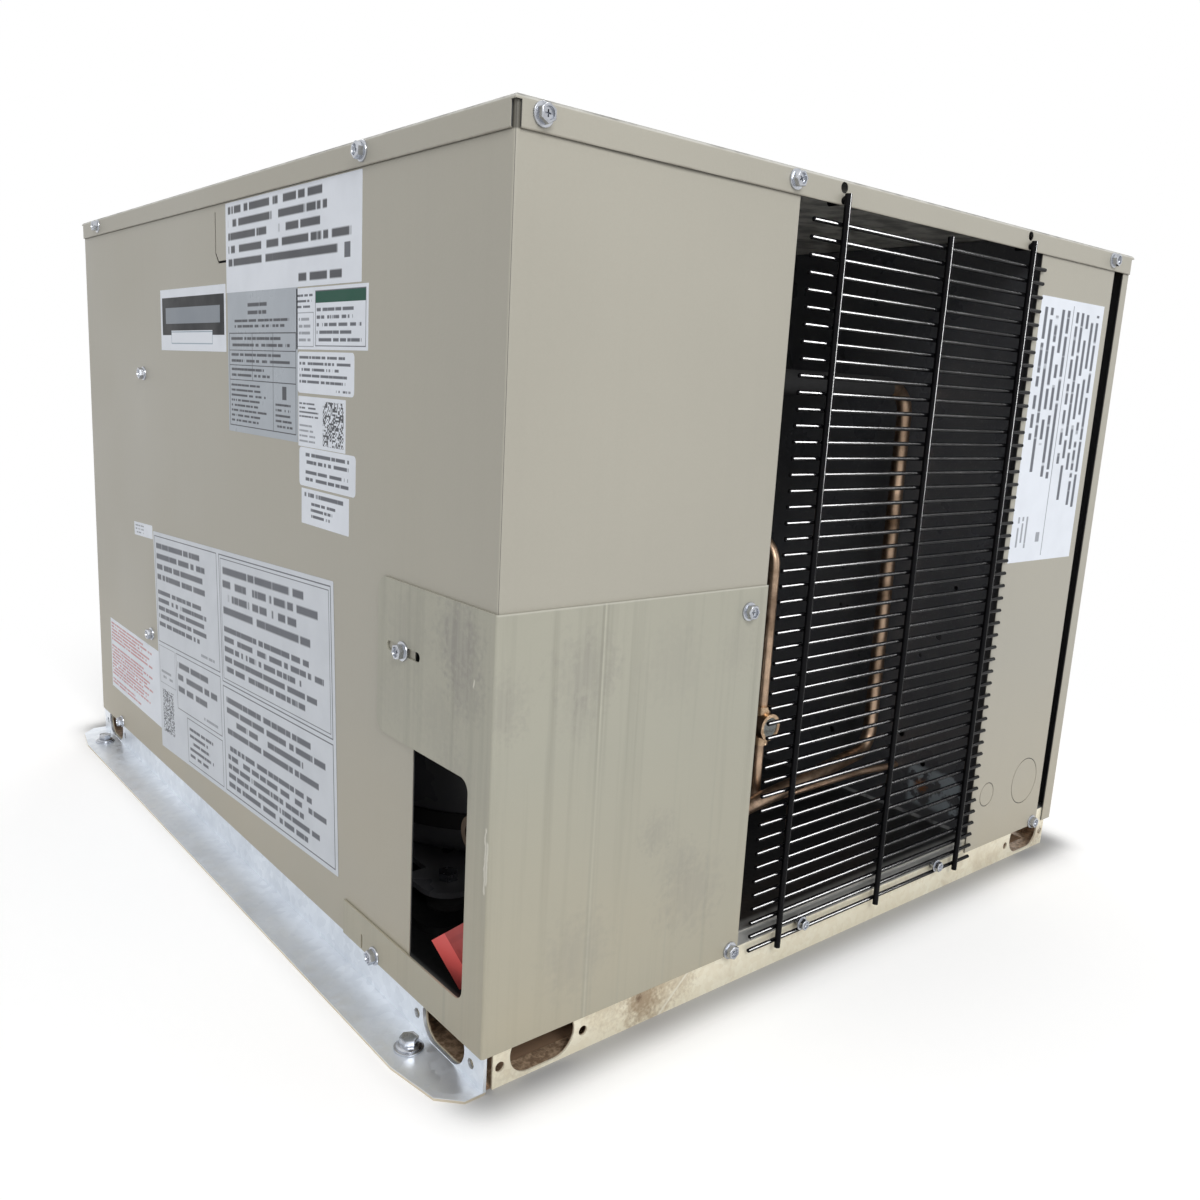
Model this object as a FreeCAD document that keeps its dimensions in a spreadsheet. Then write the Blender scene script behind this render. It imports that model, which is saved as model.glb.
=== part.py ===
import FreeCAD, Part
import Sketcher
import math
import os

from FreeCAD import Placement, Rotation, Vector

# Outdoor refrigeration condensing unit.
# Frame: origin on the floor under the casing's centre, +X to the right along the guard's face,
# the guard's face at -Y, +Z up. All lengths are in millimetres and all angles in degrees.

doc = FreeCAD.newDocument("condensing_unit")
sheet = doc.addObject("Spreadsheet::Sheet", "Sizes")

SIZES = {
    # Casing
    "casing_width": 654,
    "casing_depth": 777,
    "casing_height": 546,
    "casing_foot": 25,
    "panel_sheet": 1.2,
    "fit_gap": 0.3,
    "cover_flange": 16,
    "cover_edge_radius": 3,
    "corner_notch": 4,
    # Base pan
    "pan_height": 38,
    "pan_sheet": 1.6,
    "pan_side_inset": 3.8,
    "pan_lip": 14,
    "pan_corner_notch": 5,
    "pan_edge_radius": 2,
    "handhole_width": 48.5,
    "handhole_height": 29.2,
    "handhole_foot": 2.4,
    "handhole_edge": 21,
    "pan_hole_width": 6.5,
    "pan_hole_height": 13.2,
    "pan_hole_spacing": 62.7,
    "platform_height": 5,
    "platform_margin": 32,
    # Mounting rail
    "rail_sheet": 2,
    "rail_reach": 32,
    "rail_height": 36,
    "rail_nose": 26,
    "rail_nose_reach": 13,
    "rail_bolt_out": 14,
    "rail_bolt_front": 62,
    "rail_bolt_rear": 52,
    "rail_hole_width": 9,
    "rail_bolt_width": 8.4,
    "rail_bolt_head": 13,
    "rail_bolt_flange": 19,
    "rail_bolt_head_height": 8,
    "rail_bolt_skirt": 2.2,
    # Grille opening and front pieces
    "left_face_width": 212,
    "grille_inset": 149,
    "control_inset": 28,
    "strip_top_width": 11,
    "strip_foot_width": 16,
    "corner_cover_top": 288,
    "cover_overlap": 26,
    "return_lip": 10,
    "fold_radius": 1.8,
    # Line opening in the left face, its places counted back from the front face
    "line_back": 21.5,
    "line_far": 85.5,
    "line_foot": 50,
    "line_top": 188,
    "line_radius": 8,
    "tab_back": 129.5,
    "tab_radius": 9,
    "lower_tab_back": 174.5,
    "slot_back": 80.5,
    "slot_far": 114.5,
    "slot_height": 246,
    "slot_width": 6,
    "slit_back": 146.9,
    "slit_length": 8,
    "slit_width": 2,
    # U-shaped slit near the top of the left panel
    "u_slit_left": 15.5,
    "u_slit_right": -44.5,
    "u_slit_drop": 58.5,
    "u_slit_top_gap": 6,
    "u_slit_width": 1.8,
    "u_slit_radius": 7,
    # Screws
    "shank_width": 5,
    "screw_hole_width": 5.6,
    "washer_width": 13.5,
    "washer_thick": 1.3,
    "hex_width": 9.5,
    "hex_height": 4.2,
    "screw_length": 9,
    "flange_screw_drop": 7.7,
    "foot_screw_height": 29,
    "top_screw_corner": 15,
    "top_screw_grille": 7,
    "top_screw_control": 8,
    "top_screw_front": 156.5,
    "top_screw_rear": 56.5,
    "side_screw_low": 150,
    "side_screw_high": 398.5,
    "side_foot_screw_rear": 74,
    "corner_foot_screw_back": 128.5,
    "corner_upper_screw_side": 17,
    "corner_upper_screw_drop": 16,
    "corner_lower_screw_side": 8,
    "control_screw_side": 9,
    # Knockouts in the control cover
    "knockout_height": 74.5,
    "small_knockout_inset": 125,
    "small_knockout_width": 22.2,
    "large_knockout_inset": 61,
    "large_knockout_width": 43.7,
    "knockout_groove": 0.8,
    "lip_foot_gap": 4,
    # Wire guard
    "wire_count": 48,
    "wire_width": 3,
    "upright_width": 4.5,
    "weld_depth": 0.4,
    "guard_left_gap": 11,
    "guard_right_lap": 3,
    "guard_first_wire": 22.25,
    "guard_top_drop": 27.9,
    "guard_foot": 18,
    "upright_left_in": 39.5,
    "upright_middle_shift": 10.5,
    "upright_right_in": 24,
    "hook_drop": 5.4,
    "hook_reach": 11,
    "hook_radius": 4,
    "hook_hole_width": 7,
    "middle_upright_drop": 20.5,
    "guard_screw_left_in": 67.5,
    "guard_screw_right_in": 50,
    # Fan bulkhead, fan and motor
    "bulkhead_screw_back": 591.5,
    "bulkhead_flange": 22,
    "bulkhead_top_gap": 3,
    "fan_drop": 256,
    "orifice_width": 414,
    "orifice_depth": 26,
    "orifice_lip": 6,
    "ring_flange": 11,
    "line_hole_gap": 2,
    "fan_width": 398,
    "blade_count": 4,
    "blade_thick": 1.6,
    "blade_root_chord": 46,
    "blade_tip_chord": 128,
    "blade_root_pitch": 40,
    "blade_tip_pitch": 24,
    "blade_camber": 9,
    "blade_root_sink": 4,
    "blade_tip_trim": 8,
    "hub_width": 58,
    "hub_length": 34,
    "shaft_width": 12.7,
    "shaft_play": 0.05,
    "motor_width": 140,
    "motor_length": 104,
    "motor_back": 544.5,
    "motor_cap": 14,
    "motor_boss": 4,
    "shaft_in_motor": 60,
    "shaft_nose": 4,
    "stand_sheet": 2.5,
    "stand_foot_width": 190,
    "stand_shoulder": 16,
    "stand_depth": 68,
    "strap_width": 20,
    "strap_sheet": 1.5,
    "window_foot": 30,
    "window_head": 22,
    "window_radius": 12,
    # Coil
    "fin_depth": 38,
    "fin_rear_gap": 4,
    "fin_foot_gap": 6,
    "fin_margin": 18,
    "coil_tube_count": 12,
    "coil_top_gap": 8.8,
    "coil_tube_width": 12.7,
    "coil_side_space": 31,
    "coil_plate": 1.6,
    "coil_line_gap": 1,
    # Compressor
    "compressor_left": 159,
    "compressor_back": 238.5,
    "shell_width": 204,
    "shell_height": 286,
    "shell_dome": 44,
    "shell_heel": 18,
    "shell_seam": 5,
    "seam_share": 0.58,
    "suction_port_share": 0.8,
    "foot_spread": 190,
    "foot_sheet": 4,
    "foot_width": 46,
    "foot_waist": 20,
    "grommet_width": 30,
    "grommet_height": 14,
    "grommet_waist": 1.5,
    "foot_corner_flat": 1,
    "compressor_bolt_width": 8,
    "compressor_bolt_tail": 6,
    "compressor_bolt_head": 13,
    "compressor_bolt_head_height": 5.5,
    "terminal_box_depth": 40,
    "terminal_box_width": 74,
    "terminal_box_height": 62,
    "terminal_box_sink": 16,
    "terminal_box_rise": 92,
    "heater_thick": 3,
    "heater_height": 12,
    "heater_rise": 6,
    # Receiver
    "receiver_inset": 243,
    "receiver_back": 368.5,
    "receiver_width": 127,
    "receiver_height": 226,
    "receiver_stand": 22,
    "receiver_dome": 26,
    "receiver_stand_sheet": 3,
    "receiver_valve_width": 22,
    "receiver_valve_height": 26,
    "receiver_cap_width": 16,
    "receiver_cap_height": 14,
    "receiver_port_rise": 14,
    "receiver_port_width": 16,
    "receiver_port_reach": 18,
    # Refrigerant lines, counted back from the front face or in from the sides
    "suction_width": 12.7,
    "liquid_width": 9.5,
    "control_tube_width": 6.35,
    "bend_radius": 22,
    "elbow_radius": 14,
    "foam_width": 19,
    "foam_start": 44,
    "foam_end": 30.8,
    "riser_gap": 17,
    "riser_back": 102.5,
    "run_height": 93,
    "suction_dip_right": 96,
    "suction_dip_lead": 40,
    "suction_dip_offset": 14,
    "liquid_dip_lead": 50,
    "control_tube_lead": 30,
    "control_tube_entry": 8,
    "control_tube_offset": 6,
    "riser_top": 421,
    "suction_valve_height": 142,
    "liquid_valve_height": 72,
    "valve_length": 46,
    "valve_width": 22,
    "valve_waist": 20,
    "valve_waist_step": 2,
    "valve_waist_radius": 3,
    "bonnet_width": 14,
    "bonnet_height": 24,
    "stem_width": 7,
    "stem_seat": 13,
    "stem_rise": 9,
    "stem_flat_share": 0.34,
    "stem_shoulder": 2,
    "socket_depth": 11,
    "solder_play": 0.1,
    "bracket_width": 38,
    "bracket_foot": 26,
    "drier_shift": 5,
    "drier_length": 130,
    "drier_width": 54,
    "drier_neck": 6,
    "drier_end_share": 0.12,
    "sight_glass_reach": 16,
    "sight_glass_spool": 15,
    "sight_glass_eye": 22,
    "sight_glass_eye_length": 19,
    "sight_glass_eye_rear": 8,
    "sight_glass_pane": 16,
    "sight_glass_recess": 2,
    "sight_glass_pane_thick": 1.5,
    "valve_left": 41,
    "valve_back": 46.5,
    "sight_glass_height": 149,
    "liquid_riser_shift": 36,
    "liquid_riser_back": 88.5,
    # Control compartment
    "partition_gap": 4,
    "partition_depth": 296.5,
    "partition_flange": 15,
    "contactor_back": 138.5,
    "contactor_z": 372,
    "contactor_depth": 56,
    "contactor_width": 58,
    "contactor_tall": 80,
    "contactor_well": 18,
    "contactor_step": 12,
    "contactor_radius": 2,
    "armature_radius": 1.5,
    "armature_width": 30,
    "armature_tall": 26,
    "armature_travel": 4,
    "slide_play": 0.1,
    "capacitor_inset": 65,
    "capacitor_width": 50,
    "capacitor_tall": 96,
    "capacitor_z": 300,
    "can_strap_sheet": 1.5,
    "can_strap_ear": 14,
    "terminal_back": 43.5,
    "terminal_z": 420,
    "terminal_width": 74,
    "terminal_tall": 26,
    "terminal_depth": 18,
    "terminal_bays": 4,
    "terminal_wall": 2,
    "pressure_depth": 44,
    "pressure_width": 66,
    "pressure_tall": 84,
    "pressure_control_foot": 170,
    "pressure_tube_height": 80,
    "pressure_bend": 16,
    "pressure_radius": 4,
    "reset_width": 9,
    "reset_well": 12,
    "reset_drop": 20,
    "reset_travel": 3,
}


class Size(float):
    """A number that keeps the spreadsheet formula that it came from."""

    def __new__(cls, number, text):
        size = float.__new__(cls, number)
        size.text = text
        return size

    def __neg__(self):
        return Size(-float(self), f"(-{self.text})")

    def __add__(self, other):
        return Size(float(self) + float(other), f"({self.text} + {text_of(other)})")

    def __radd__(self, other):
        return Size(float(other) + float(self), f"({text_of(other)} + {self.text})")

    def __sub__(self, other):
        return Size(float(self) - float(other), f"({self.text} - {text_of(other)})")

    def __rsub__(self, other):
        return Size(float(other) - float(self), f"({text_of(other)} - {self.text})")

    def __mul__(self, other):
        return Size(float(self) * float(other), f"({self.text} * {text_of(other)})")

    def __rmul__(self, other):
        return Size(float(other) * float(self), f"({text_of(other)} * {self.text})")

    def __truediv__(self, other):
        return Size(float(self) / float(other), f"({self.text} / {text_of(other)})")


def text_of(number):
    """The formula of a size, or a plain number in brackets."""
    return number.text if isinstance(number, Size) else f"({float(number):.10g})"


class Sizes:
    """The spreadsheet's values, read by name."""

    def __getattr__(self, name):
        return Size(float(sheet.get(name)), "Sizes." + name)


for row, (alias, number) in enumerate(SIZES.items(), start=1):
    sheet.set(f"A{row}", alias)
    sheet.set(f"B{row}", str(number))
    sheet.setAlias(f"B{row}", alias)
doc.recompute()
d = Sizes()
NODES = []


# Directions
LEFT = Vector(-1, 0, 0)
RIGHT = Vector(1, 0, 0)
FRONT = Vector(0, -1, 0)
REAR = Vector(0, 1, 0)
UP = Vector(0, 0, 1)

# How far a cut, or a pad that joins another, runs past the face that it goes through
OVERRUN = 1

# Places that several pieces share

HALF_WIDTH = d.casing_width / 2
HALF_DEPTH = d.casing_depth / 2

# Places along the casing, which count back from its front face
LINE_FRONT = d.line_back - HALF_DEPTH
LINE_REAR = d.line_far - HALF_DEPTH
TAB_REAR = d.tab_back - HALF_DEPTH
LOWER_TAB_REAR = d.lower_tab_back - HALF_DEPTH
SLOT_FRONT = d.slot_back - HALF_DEPTH
SLOT_REAR = d.slot_far - HALF_DEPTH
SLIT_PLACE = d.slit_back - HALF_DEPTH
CORNER_FOOT_SCREW = d.corner_foot_screw_back - HALF_DEPTH
RISER_Y = d.riser_back - HALF_DEPTH
VALVE_Y = d.valve_back - HALF_DEPTH
LIQUID_RISER_Y = d.liquid_riser_back - HALF_DEPTH
PARTITION_REAR = d.partition_depth - HALF_DEPTH
CONTACTOR_Y = d.contactor_back - HALF_DEPTH
TERMINAL_Y = d.terminal_back - HALF_DEPTH
BULKHEAD_SCREW_PLACE = d.bulkhead_screw_back - HALF_DEPTH
MOTOR_REAR = d.motor_back - HALF_DEPTH
COMPRESSOR_Y = d.compressor_back - HALF_DEPTH
RECEIVER_Y = d.receiver_back - HALF_DEPTH
DRIER_Y = (LIQUID_RISER_Y + RECEIVER_Y) / 2 - d.drier_shift

# Places across the casing, which count in from its sides or follow one another
GRILLE_LEFT = d.left_face_width - HALF_WIDTH
GRILLE_RIGHT = HALF_WIDTH - d.grille_inset
CONTROL_RIGHT = HALF_WIDTH - d.control_inset
STRIP_TOP = HALF_WIDTH - d.strip_top_width
STRIP_FOOT = HALF_WIDTH - d.strip_foot_width
SMALL_KNOCKOUT_X = HALF_WIDTH - d.small_knockout_inset
LARGE_KNOCKOUT_X = HALF_WIDTH - d.large_knockout_inset
GUARD_LEFT = GRILLE_LEFT + d.guard_left_gap
GUARD_RIGHT = GRILLE_RIGHT + d.guard_right_lap
UPRIGHT_LEFT = GRILLE_LEFT + d.upright_left_in
UPRIGHT_MIDDLE = (GRILLE_LEFT + GRILLE_RIGHT) / 2 + d.upright_middle_shift
UPRIGHT_RIGHT = GRILLE_RIGHT - d.upright_right_in
GUARD_SCREW_LEFT = GRILLE_LEFT + d.guard_screw_left_in
GUARD_SCREW_RIGHT = GRILLE_RIGHT - d.guard_screw_right_in
PARTITION_X = GRILLE_RIGHT + d.partition_gap
RISER_X = PARTITION_X - d.riser_gap
CAPACITOR_X = HALF_WIDTH - d.capacitor_inset
COMPRESSOR_X = d.compressor_left - HALF_WIDTH
VALVE_X = d.valve_left - HALF_WIDTH
RECEIVER_X = HALF_WIDTH - d.receiver_inset
LIQUID_RISER_X = (COMPRESSOR_X + RECEIVER_X) / 2 + d.liquid_riser_shift
SUCTION_DIP_X = COMPRESSOR_X + d.suction_dip_right

# Faces, and heights that follow the casing
COVER_X = HALF_WIDTH + d.fit_gap + d.panel_sheet
COVER_Y = HALF_DEPTH + d.fit_gap + d.panel_sheet
INSIDE_X = HALF_WIDTH - d.panel_sheet
INSIDE_Y = HALF_DEPTH - d.panel_sheet
CEILING = d.casing_height - d.panel_sheet
PANEL_TOP = CEILING - d.fit_gap
PAN_X = HALF_WIDTH - d.pan_side_inset
PAN_Y = INSIDE_Y - d.fit_gap
PLATFORM = d.pan_height + d.platform_height
FLANGE_FOOT = d.casing_height - d.cover_flange
FLANGE_SCREW_HEIGHT = d.casing_height - d.flange_screw_drop
HOOK_HEIGHT = d.casing_height - d.hook_drop
MIDDLE_UPRIGHT_TOP = d.casing_height - d.middle_upright_drop
U_SLIT_FOOT = d.casing_height - d.u_slit_drop
GUARD_HEIGHT = d.casing_height - d.guard_top_drop - d.guard_first_wire
WIRE_PITCH = GUARD_HEIGHT / (d.wire_count - 1)
FAN_HEIGHT = d.casing_height - d.fan_drop
WIRE_Y = -(HALF_DEPTH + d.fit_gap + d.wire_width / 2)
UPRIGHT_Y = WIRE_Y - d.wire_width / 2 - d.upright_width / 2 + d.weld_depth
BULKHEAD_Y = BULKHEAD_SCREW_PLACE - d.bulkhead_flange / 2
FIN_REAR = INSIDE_Y - d.fin_rear_gap
FIN_FRONT = FIN_REAR - d.fin_depth
FIN_HALF = HALF_WIDTH - d.coil_side_space
FIN_FOOT = d.pan_height + d.fin_foot_gap
FIN_HEIGHT = d.casing_height - d.coil_top_gap - FIN_FOOT
TUBE_PITCH = (FIN_HEIGHT - 2 * d.fin_margin) / d.coil_tube_count
FIRST_TUBE_Z = FIN_FOOT + d.fin_margin + TUBE_PITCH / 2
COVER_RETURN_FOOT = d.corner_cover_top - d.cover_overlap
HANDHOLE_CENTRE = HALF_WIDTH - d.handhole_edge - d.handhole_width / 2
PAN_HOLE_OUTER = HANDHOLE_CENTRE + d.pan_hole_spacing / 2
PAN_HOLE_INNER = HANDHOLE_CENTRE - d.pan_hole_spacing / 2
SIDE_HANDHOLE_CENTRE = HALF_DEPTH - d.handhole_edge - d.handhole_width / 2
SIDE_HOLE_OUTER = SIDE_HANDHOLE_CENTRE + d.pan_hole_spacing / 2
SIDE_HOLE_INNER = SIDE_HANDHOLE_CENTRE - d.pan_hole_spacing / 2

GUARD_SCREW_HEIGHT = d.guard_first_wire + WIRE_PITCH / 2
RAIL_INNER = PAN_X + d.fit_gap
RAIL_OUTER = RAIL_INNER + d.rail_sheet
RAIL_BOLT_PLACES = [d.rail_bolt_front - HALF_DEPTH, HALF_DEPTH - d.rail_bolt_rear]
FAN_Y = BULKHEAD_Y - d.orifice_depth / 2
STAND_Y = MOTOR_REAR - d.motor_length / 2
STRAP_SCREW_X = d.motor_width / 2 + d.stand_shoulder / 2 + d.strap_sheet
COIL_Y = (FIN_FRONT + FIN_REAR) / 2
COIL_LINE_X = FIN_HALF + d.elbow_radius + d.coil_plate + d.coil_line_gap
COIL_INLET_Z = FIRST_TUBE_Z + (d.coil_tube_count - 1) * TUBE_PITCH
COIL_OUTLET_Z = FIRST_TUBE_Z
FOOT_PLATE_Z = PLATFORM + d.grommet_height
SHELL_FOOT = FOOT_PLATE_Z + d.foot_sheet
SUCTION_PORT_Z = SHELL_FOOT + d.shell_height * d.suction_port_share
RECEIVER_FOOT = d.pan_height + d.receiver_stand
RECEIVER_TOP = RECEIVER_FOOT + d.receiver_height
RECEIVER_PORT_Z = RECEIVER_TOP + d.receiver_port_rise
VALVE_PORT_X = VALVE_X + d.valve_length / 2
PRESSURE_TUBE_Y = LIQUID_RISER_Y - d.control_tube_offset
PARTITION_FACE = PARTITION_X + d.panel_sheet
PRESSURE_X = PARTITION_FACE + d.pressure_depth / 2
CAPACITOR_STRAP_Z = d.capacitor_z + d.capacitor_tall / 2
COMPRESSOR_BOLT_PLACES = [
    (COMPRESSOR_X + side_x * d.foot_spread / 2, COMPRESSOR_Y + side_y * d.foot_spread / 2)
    for side_x in (-1, 1) for side_y in (-1, 1)
]

# Holes in the control partition: distance back from the front face, height and width
PARTITION_HOLES = [
    (53.9, 208.6, 6.5), (70.2, 187.8, 4), (79.8, 111.2, 6.5), (54.9, 90, 6.5), (42.7, 254.5, 4),
    (154.4, 215.7, 5), (162.5, 217, 3.5), (164.9, 252.9, 4), (157.9, 92.3, 6.5),
]

# Screw places: x on the front and rear faces, y on the side faces, each with its height
TOP_CORNER_SCREW = HALF_WIDTH - d.top_screw_corner
TOP_FRONT_SCREWS = [
    -TOP_CORNER_SCREW, GRILLE_LEFT - d.top_screw_grille, CONTROL_RIGHT - d.top_screw_control,
]
TOP_SIDE_SCREWS = [d.top_screw_front - HALF_DEPTH, HALF_DEPTH - d.top_screw_rear]
TOP_REAR_SCREWS = [-TOP_CORNER_SCREW, TOP_CORNER_SCREW]
BULKHEAD_SCREW_HEIGHTS = [d.side_screw_low, d.side_screw_high]
SIDE_FOOT_SCREW = HALF_DEPTH - d.side_foot_screw_rear
CORNER_SLOT_SCREW = (SLOT_FRONT + SLOT_REAR) / 2
CORNER_UPPER_SCREW = (
    GRILLE_LEFT - d.corner_upper_screw_side, d.corner_cover_top - d.corner_upper_screw_drop,
)
CORNER_LOWER_SCREW = GRILLE_LEFT - d.corner_lower_screw_side
CONTROL_FOOT_SCREW = CONTROL_RIGHT - d.control_screw_side
LEFT_SCREWS = [(y, FLANGE_SCREW_HEIGHT) for y in TOP_SIDE_SCREWS]
LEFT_SCREWS += [(BULKHEAD_SCREW_PLACE, z) for z in BULKHEAD_SCREW_HEIGHTS]
RIGHT_SCREWS = LEFT_SCREWS + [(y, d.foot_screw_height) for y in (SIDE_FOOT_SCREW, CORNER_FOOT_SCREW)]
LEFT_SCREWS += [
    (SIDE_FOOT_SCREW, d.foot_screw_height), (CORNER_FOOT_SCREW, d.foot_screw_height),
    (CORNER_SLOT_SCREW, d.slot_height),
]


# Tools for building

def spot(x, y, z):
    """A point from three sizes."""
    return Vector(float(x), float(y), float(z))


def keep(piece):
    """Marks an object as a finished sub-part."""
    NODES.append(piece)
    return piece


def bind(piece, **values):
    """Ties properties of an object to the sizes."""
    for name, number in values.items():
        piece.setExpression(name.replace("__", "."), text_of(number))
    return piece


def place(piece, x=0, y=0, z=0, axis=None, angle=0):
    """Turns a piece about an axis, then ties its position to the sizes."""
    if axis is not None:
        piece.Placement = Placement(Vector(0, 0, 0), Rotation(axis, angle))
    return bind(piece, Placement__Base__x=x, Placement__Base__y=y, Placement__Base__z=z)


def body(label):
    """An empty body for one sub-part, in the part's own frame."""
    made = doc.addObject("PartDesign::Body", label)
    made.Label = label
    return keep(made)


def sketch(owner, plane, offset=0):
    """A sketch on an origin plane of the body, moved along the plane's normal.
    XZ looks along -Y, so its offset counts towards -Y."""
    drawn = owner.newObject("Sketcher::SketchObject", owner.Name + "_sketch")
    features = owner.Origin.OriginFeatures
    support = next(f for f in features if f.Role == plane + "_Plane")
    drawn.AttachmentSupport = [(support, "")]
    drawn.MapMode = "FlatFace"
    return bind(drawn, AttachmentOffset__Base__z=offset)


def tie(drawn, kind, *items):
    """Adds a dimension whose last item is a size."""
    *where, size = items
    index = drawn.addConstraint(Sketcher.Constraint(kind, *where, float(size)))
    drawn.setExpression(f"Constraints[{index}]", text_of(size))


def tie_point(drawn, edge, end, x, y):
    """Fixes a point of a sketch at a place that comes from the sizes."""
    tie(drawn, "DistanceX", -1, 1, edge, end, x)
    tie(drawn, "DistanceY", -1, 1, edge, end, y)


def outline(drawn, points):
    """A closed run of straight lines through tied points."""
    ends = [Vector(float(x), float(y), 0) for x, y in points]
    count = len(ends)
    edges = [
        drawn.addGeometry(Part.LineSegment(ends[i], ends[(i + 1) % count]), False)
        for i in range(count)
    ]
    for i, edge in enumerate(edges):
        drawn.addConstraint(Sketcher.Constraint("Coincident", edge, 2, edges[(i + 1) % count], 1))
        tie_point(drawn, edge, 1, *points[i])


def box_outline(drawn, x0, y0, x1, y1):
    """A rectangle between two corners."""
    outline(drawn, [(x0, y0), (x1, y0), (x1, y1), (x0, y1)])


def circle(drawn, x, y, width):
    """A circle of a given width."""
    edge = drawn.addGeometry(
        Part.Circle(Vector(float(x), float(y), 0), UP, float(width) / 2), False
    )
    tie_point(drawn, edge, 3, x, y)
    tie(drawn, "Radius", edge, width / 2)


def rounded_box(drawn, x0, y0, x1, y1, radius):
    """A rectangle with four tangent corner arcs."""
    centres = [
        (x0 + radius, y0 + radius), (x1 - radius, y0 + radius),
        (x1 - radius, y1 - radius), (x0 + radius, y1 - radius),
    ]
    arcs = []
    for turn, (x, y) in enumerate(centres):
        round_edge = Part.Circle(Vector(float(x), float(y), 0), UP, float(radius))
        start = math.pi * (1 + turn / 2)
        arc = Part.ArcOfCircle(round_edge, start, start + math.pi / 2)
        arcs.append(drawn.addGeometry(arc, False))
    for turn, arc in enumerate(arcs):
        following = arcs[(turn + 1) % 4]
        start = drawn.getPoint(arc, 2)
        end = drawn.getPoint(following, 1)
        line = drawn.addGeometry(Part.LineSegment(start, end), False)
        drawn.addConstraint(Sketcher.Constraint("Tangent", arc, 2, line, 1))
        drawn.addConstraint(Sketcher.Constraint("Tangent", line, 2, following, 1))
    for arc, (x, y) in zip(arcs, centres):
        tie_point(drawn, arc, 3, x, y)
        tie(drawn, "Radius", arc, radius)


def slot(drawn, x0, y0, x1, y1, width):
    """A slot with round ends between two end centres."""
    along = Vector(float(x1) - float(x0), float(y1) - float(y0), 0)
    heading = math.atan2(along.y, along.x)
    side = Vector(-along.y, along.x, 0).normalize() * (float(width) / 2)
    ends = [Vector(float(x0), float(y0), 0), Vector(float(x1), float(y1), 0)]
    arcs = []
    for turn, end in enumerate(ends):
        start = heading + math.pi / 2 - math.pi * turn
        arc = Part.ArcOfCircle(Part.Circle(end, UP, float(width) / 2), start, start + math.pi)
        arcs.append(drawn.addGeometry(arc, False))
    lower = drawn.addGeometry(Part.LineSegment(ends[0] - side, ends[1] - side), False)
    upper = drawn.addGeometry(Part.LineSegment(ends[1] + side, ends[0] + side), False)
    drawn.addConstraint(Sketcher.Constraint("Tangent", arcs[0], 2, lower, 1))
    drawn.addConstraint(Sketcher.Constraint("Tangent", lower, 2, arcs[1], 1))
    drawn.addConstraint(Sketcher.Constraint("Tangent", arcs[1], 2, upper, 1))
    drawn.addConstraint(Sketcher.Constraint("Tangent", upper, 2, arcs[0], 1))
    for arc, (x, y) in zip(arcs, ((x0, y0), (x1, y1))):
        tie_point(drawn, arc, 3, x, y)
        tie(drawn, "Radius", arc, width / 2)


def pad(owner, drawn, length, reverse=False):
    """Adds material from a sketch, along its normal or against it."""
    made = owner.newObject("PartDesign::Pad", owner.Name + "_pad")
    made.Profile = drawn
    made.Reversed = reverse
    bind(made, Length=length)
    owner.Tip = made
    doc.recompute()
    return made


def pocket(owner, drawn, length, reverse=False):
    """Removes material, against the sketch's normal unless reversed, and checks that it did."""
    before = owner.Tip.Shape.Volume
    made = owner.newObject("PartDesign::Pocket", owner.Name + "_pocket")
    made.Profile = drawn
    made.Reversed = reverse
    bind(made, Length=length)
    owner.Tip = made
    doc.recompute()
    if made.Shape.Volume > before - 0.01:
        raise ValueError(f"{owner.Label}: a pocket cut nothing")
    return made


def round_edges(owner, radius, wanted):
    """Rounds the edges of a body that a test picks."""
    base = owner.Tip
    names = [f"Edge{i}" for i, edge in enumerate(base.Shape.Edges, start=1) if wanted(edge)]
    made = owner.newObject("PartDesign::Fillet", owner.Name + "_fillet")
    made.Base = (base, names)
    bind(made, Radius=radius)
    owner.Tip = made
    doc.recompute()
    return made


def near(one, other):
    """Whether two lengths are the same to a hundredth."""
    return abs(float(one) - float(other)) < 0.01


def level_edge(edge, height):
    """Whether an edge lies level at a height."""
    bounds = edge.BoundBox
    return near(bounds.ZMin, height) and near(bounds.ZMax, height)


def corner_fold(edge, x, y):
    """Whether an edge is a tall outer fold of a panel, at a corner of the casing."""
    bounds = edge.BoundBox
    at_corner = near(abs(bounds.Center.x), x) and near(abs(bounds.Center.y), y)
    return at_corner and bounds.ZLength > d.cover_overlap


def rim(edge, width):
    """Whether an edge is a level circle of a given width."""
    bounds = edge.BoundBox
    return near(bounds.XLength, width) and near(bounds.ZLength, 0)


def bar(label, radius, length, x, y, z, axis=None, angle=0):
    """A plain cylinder, along +Z unless it is turned."""
    made = doc.addObject("Part::Cylinder", label)
    bind(made, Radius=radius, Height=length)
    return place(made, x, y, z, axis, angle)


def block(label, width, depth, height, x, y, z):
    """A plain box from its lowest corner."""
    made = doc.addObject("Part::Box", label)
    bind(made, Length=width, Width=depth, Height=height)
    return place(made, x, y, z)


def join(label, pieces):
    """One solid from several."""
    made = doc.addObject("Part::MultiFuse", label)
    made.Label = label
    made.Shapes = pieces
    return made


def remove(label, base, tool):
    """A piece with another one cut away."""
    made = doc.addObject("Part::Cut", label)
    made.Label = label
    made.Base = base
    made.Tool = tool
    return made


def feature(label, shape):
    """A sub-part whose shape comes from Part's own functions."""
    made = doc.addObject("Part::Feature", label)
    made.Label = label
    made.Shape = shape
    return keep(made)


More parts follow.
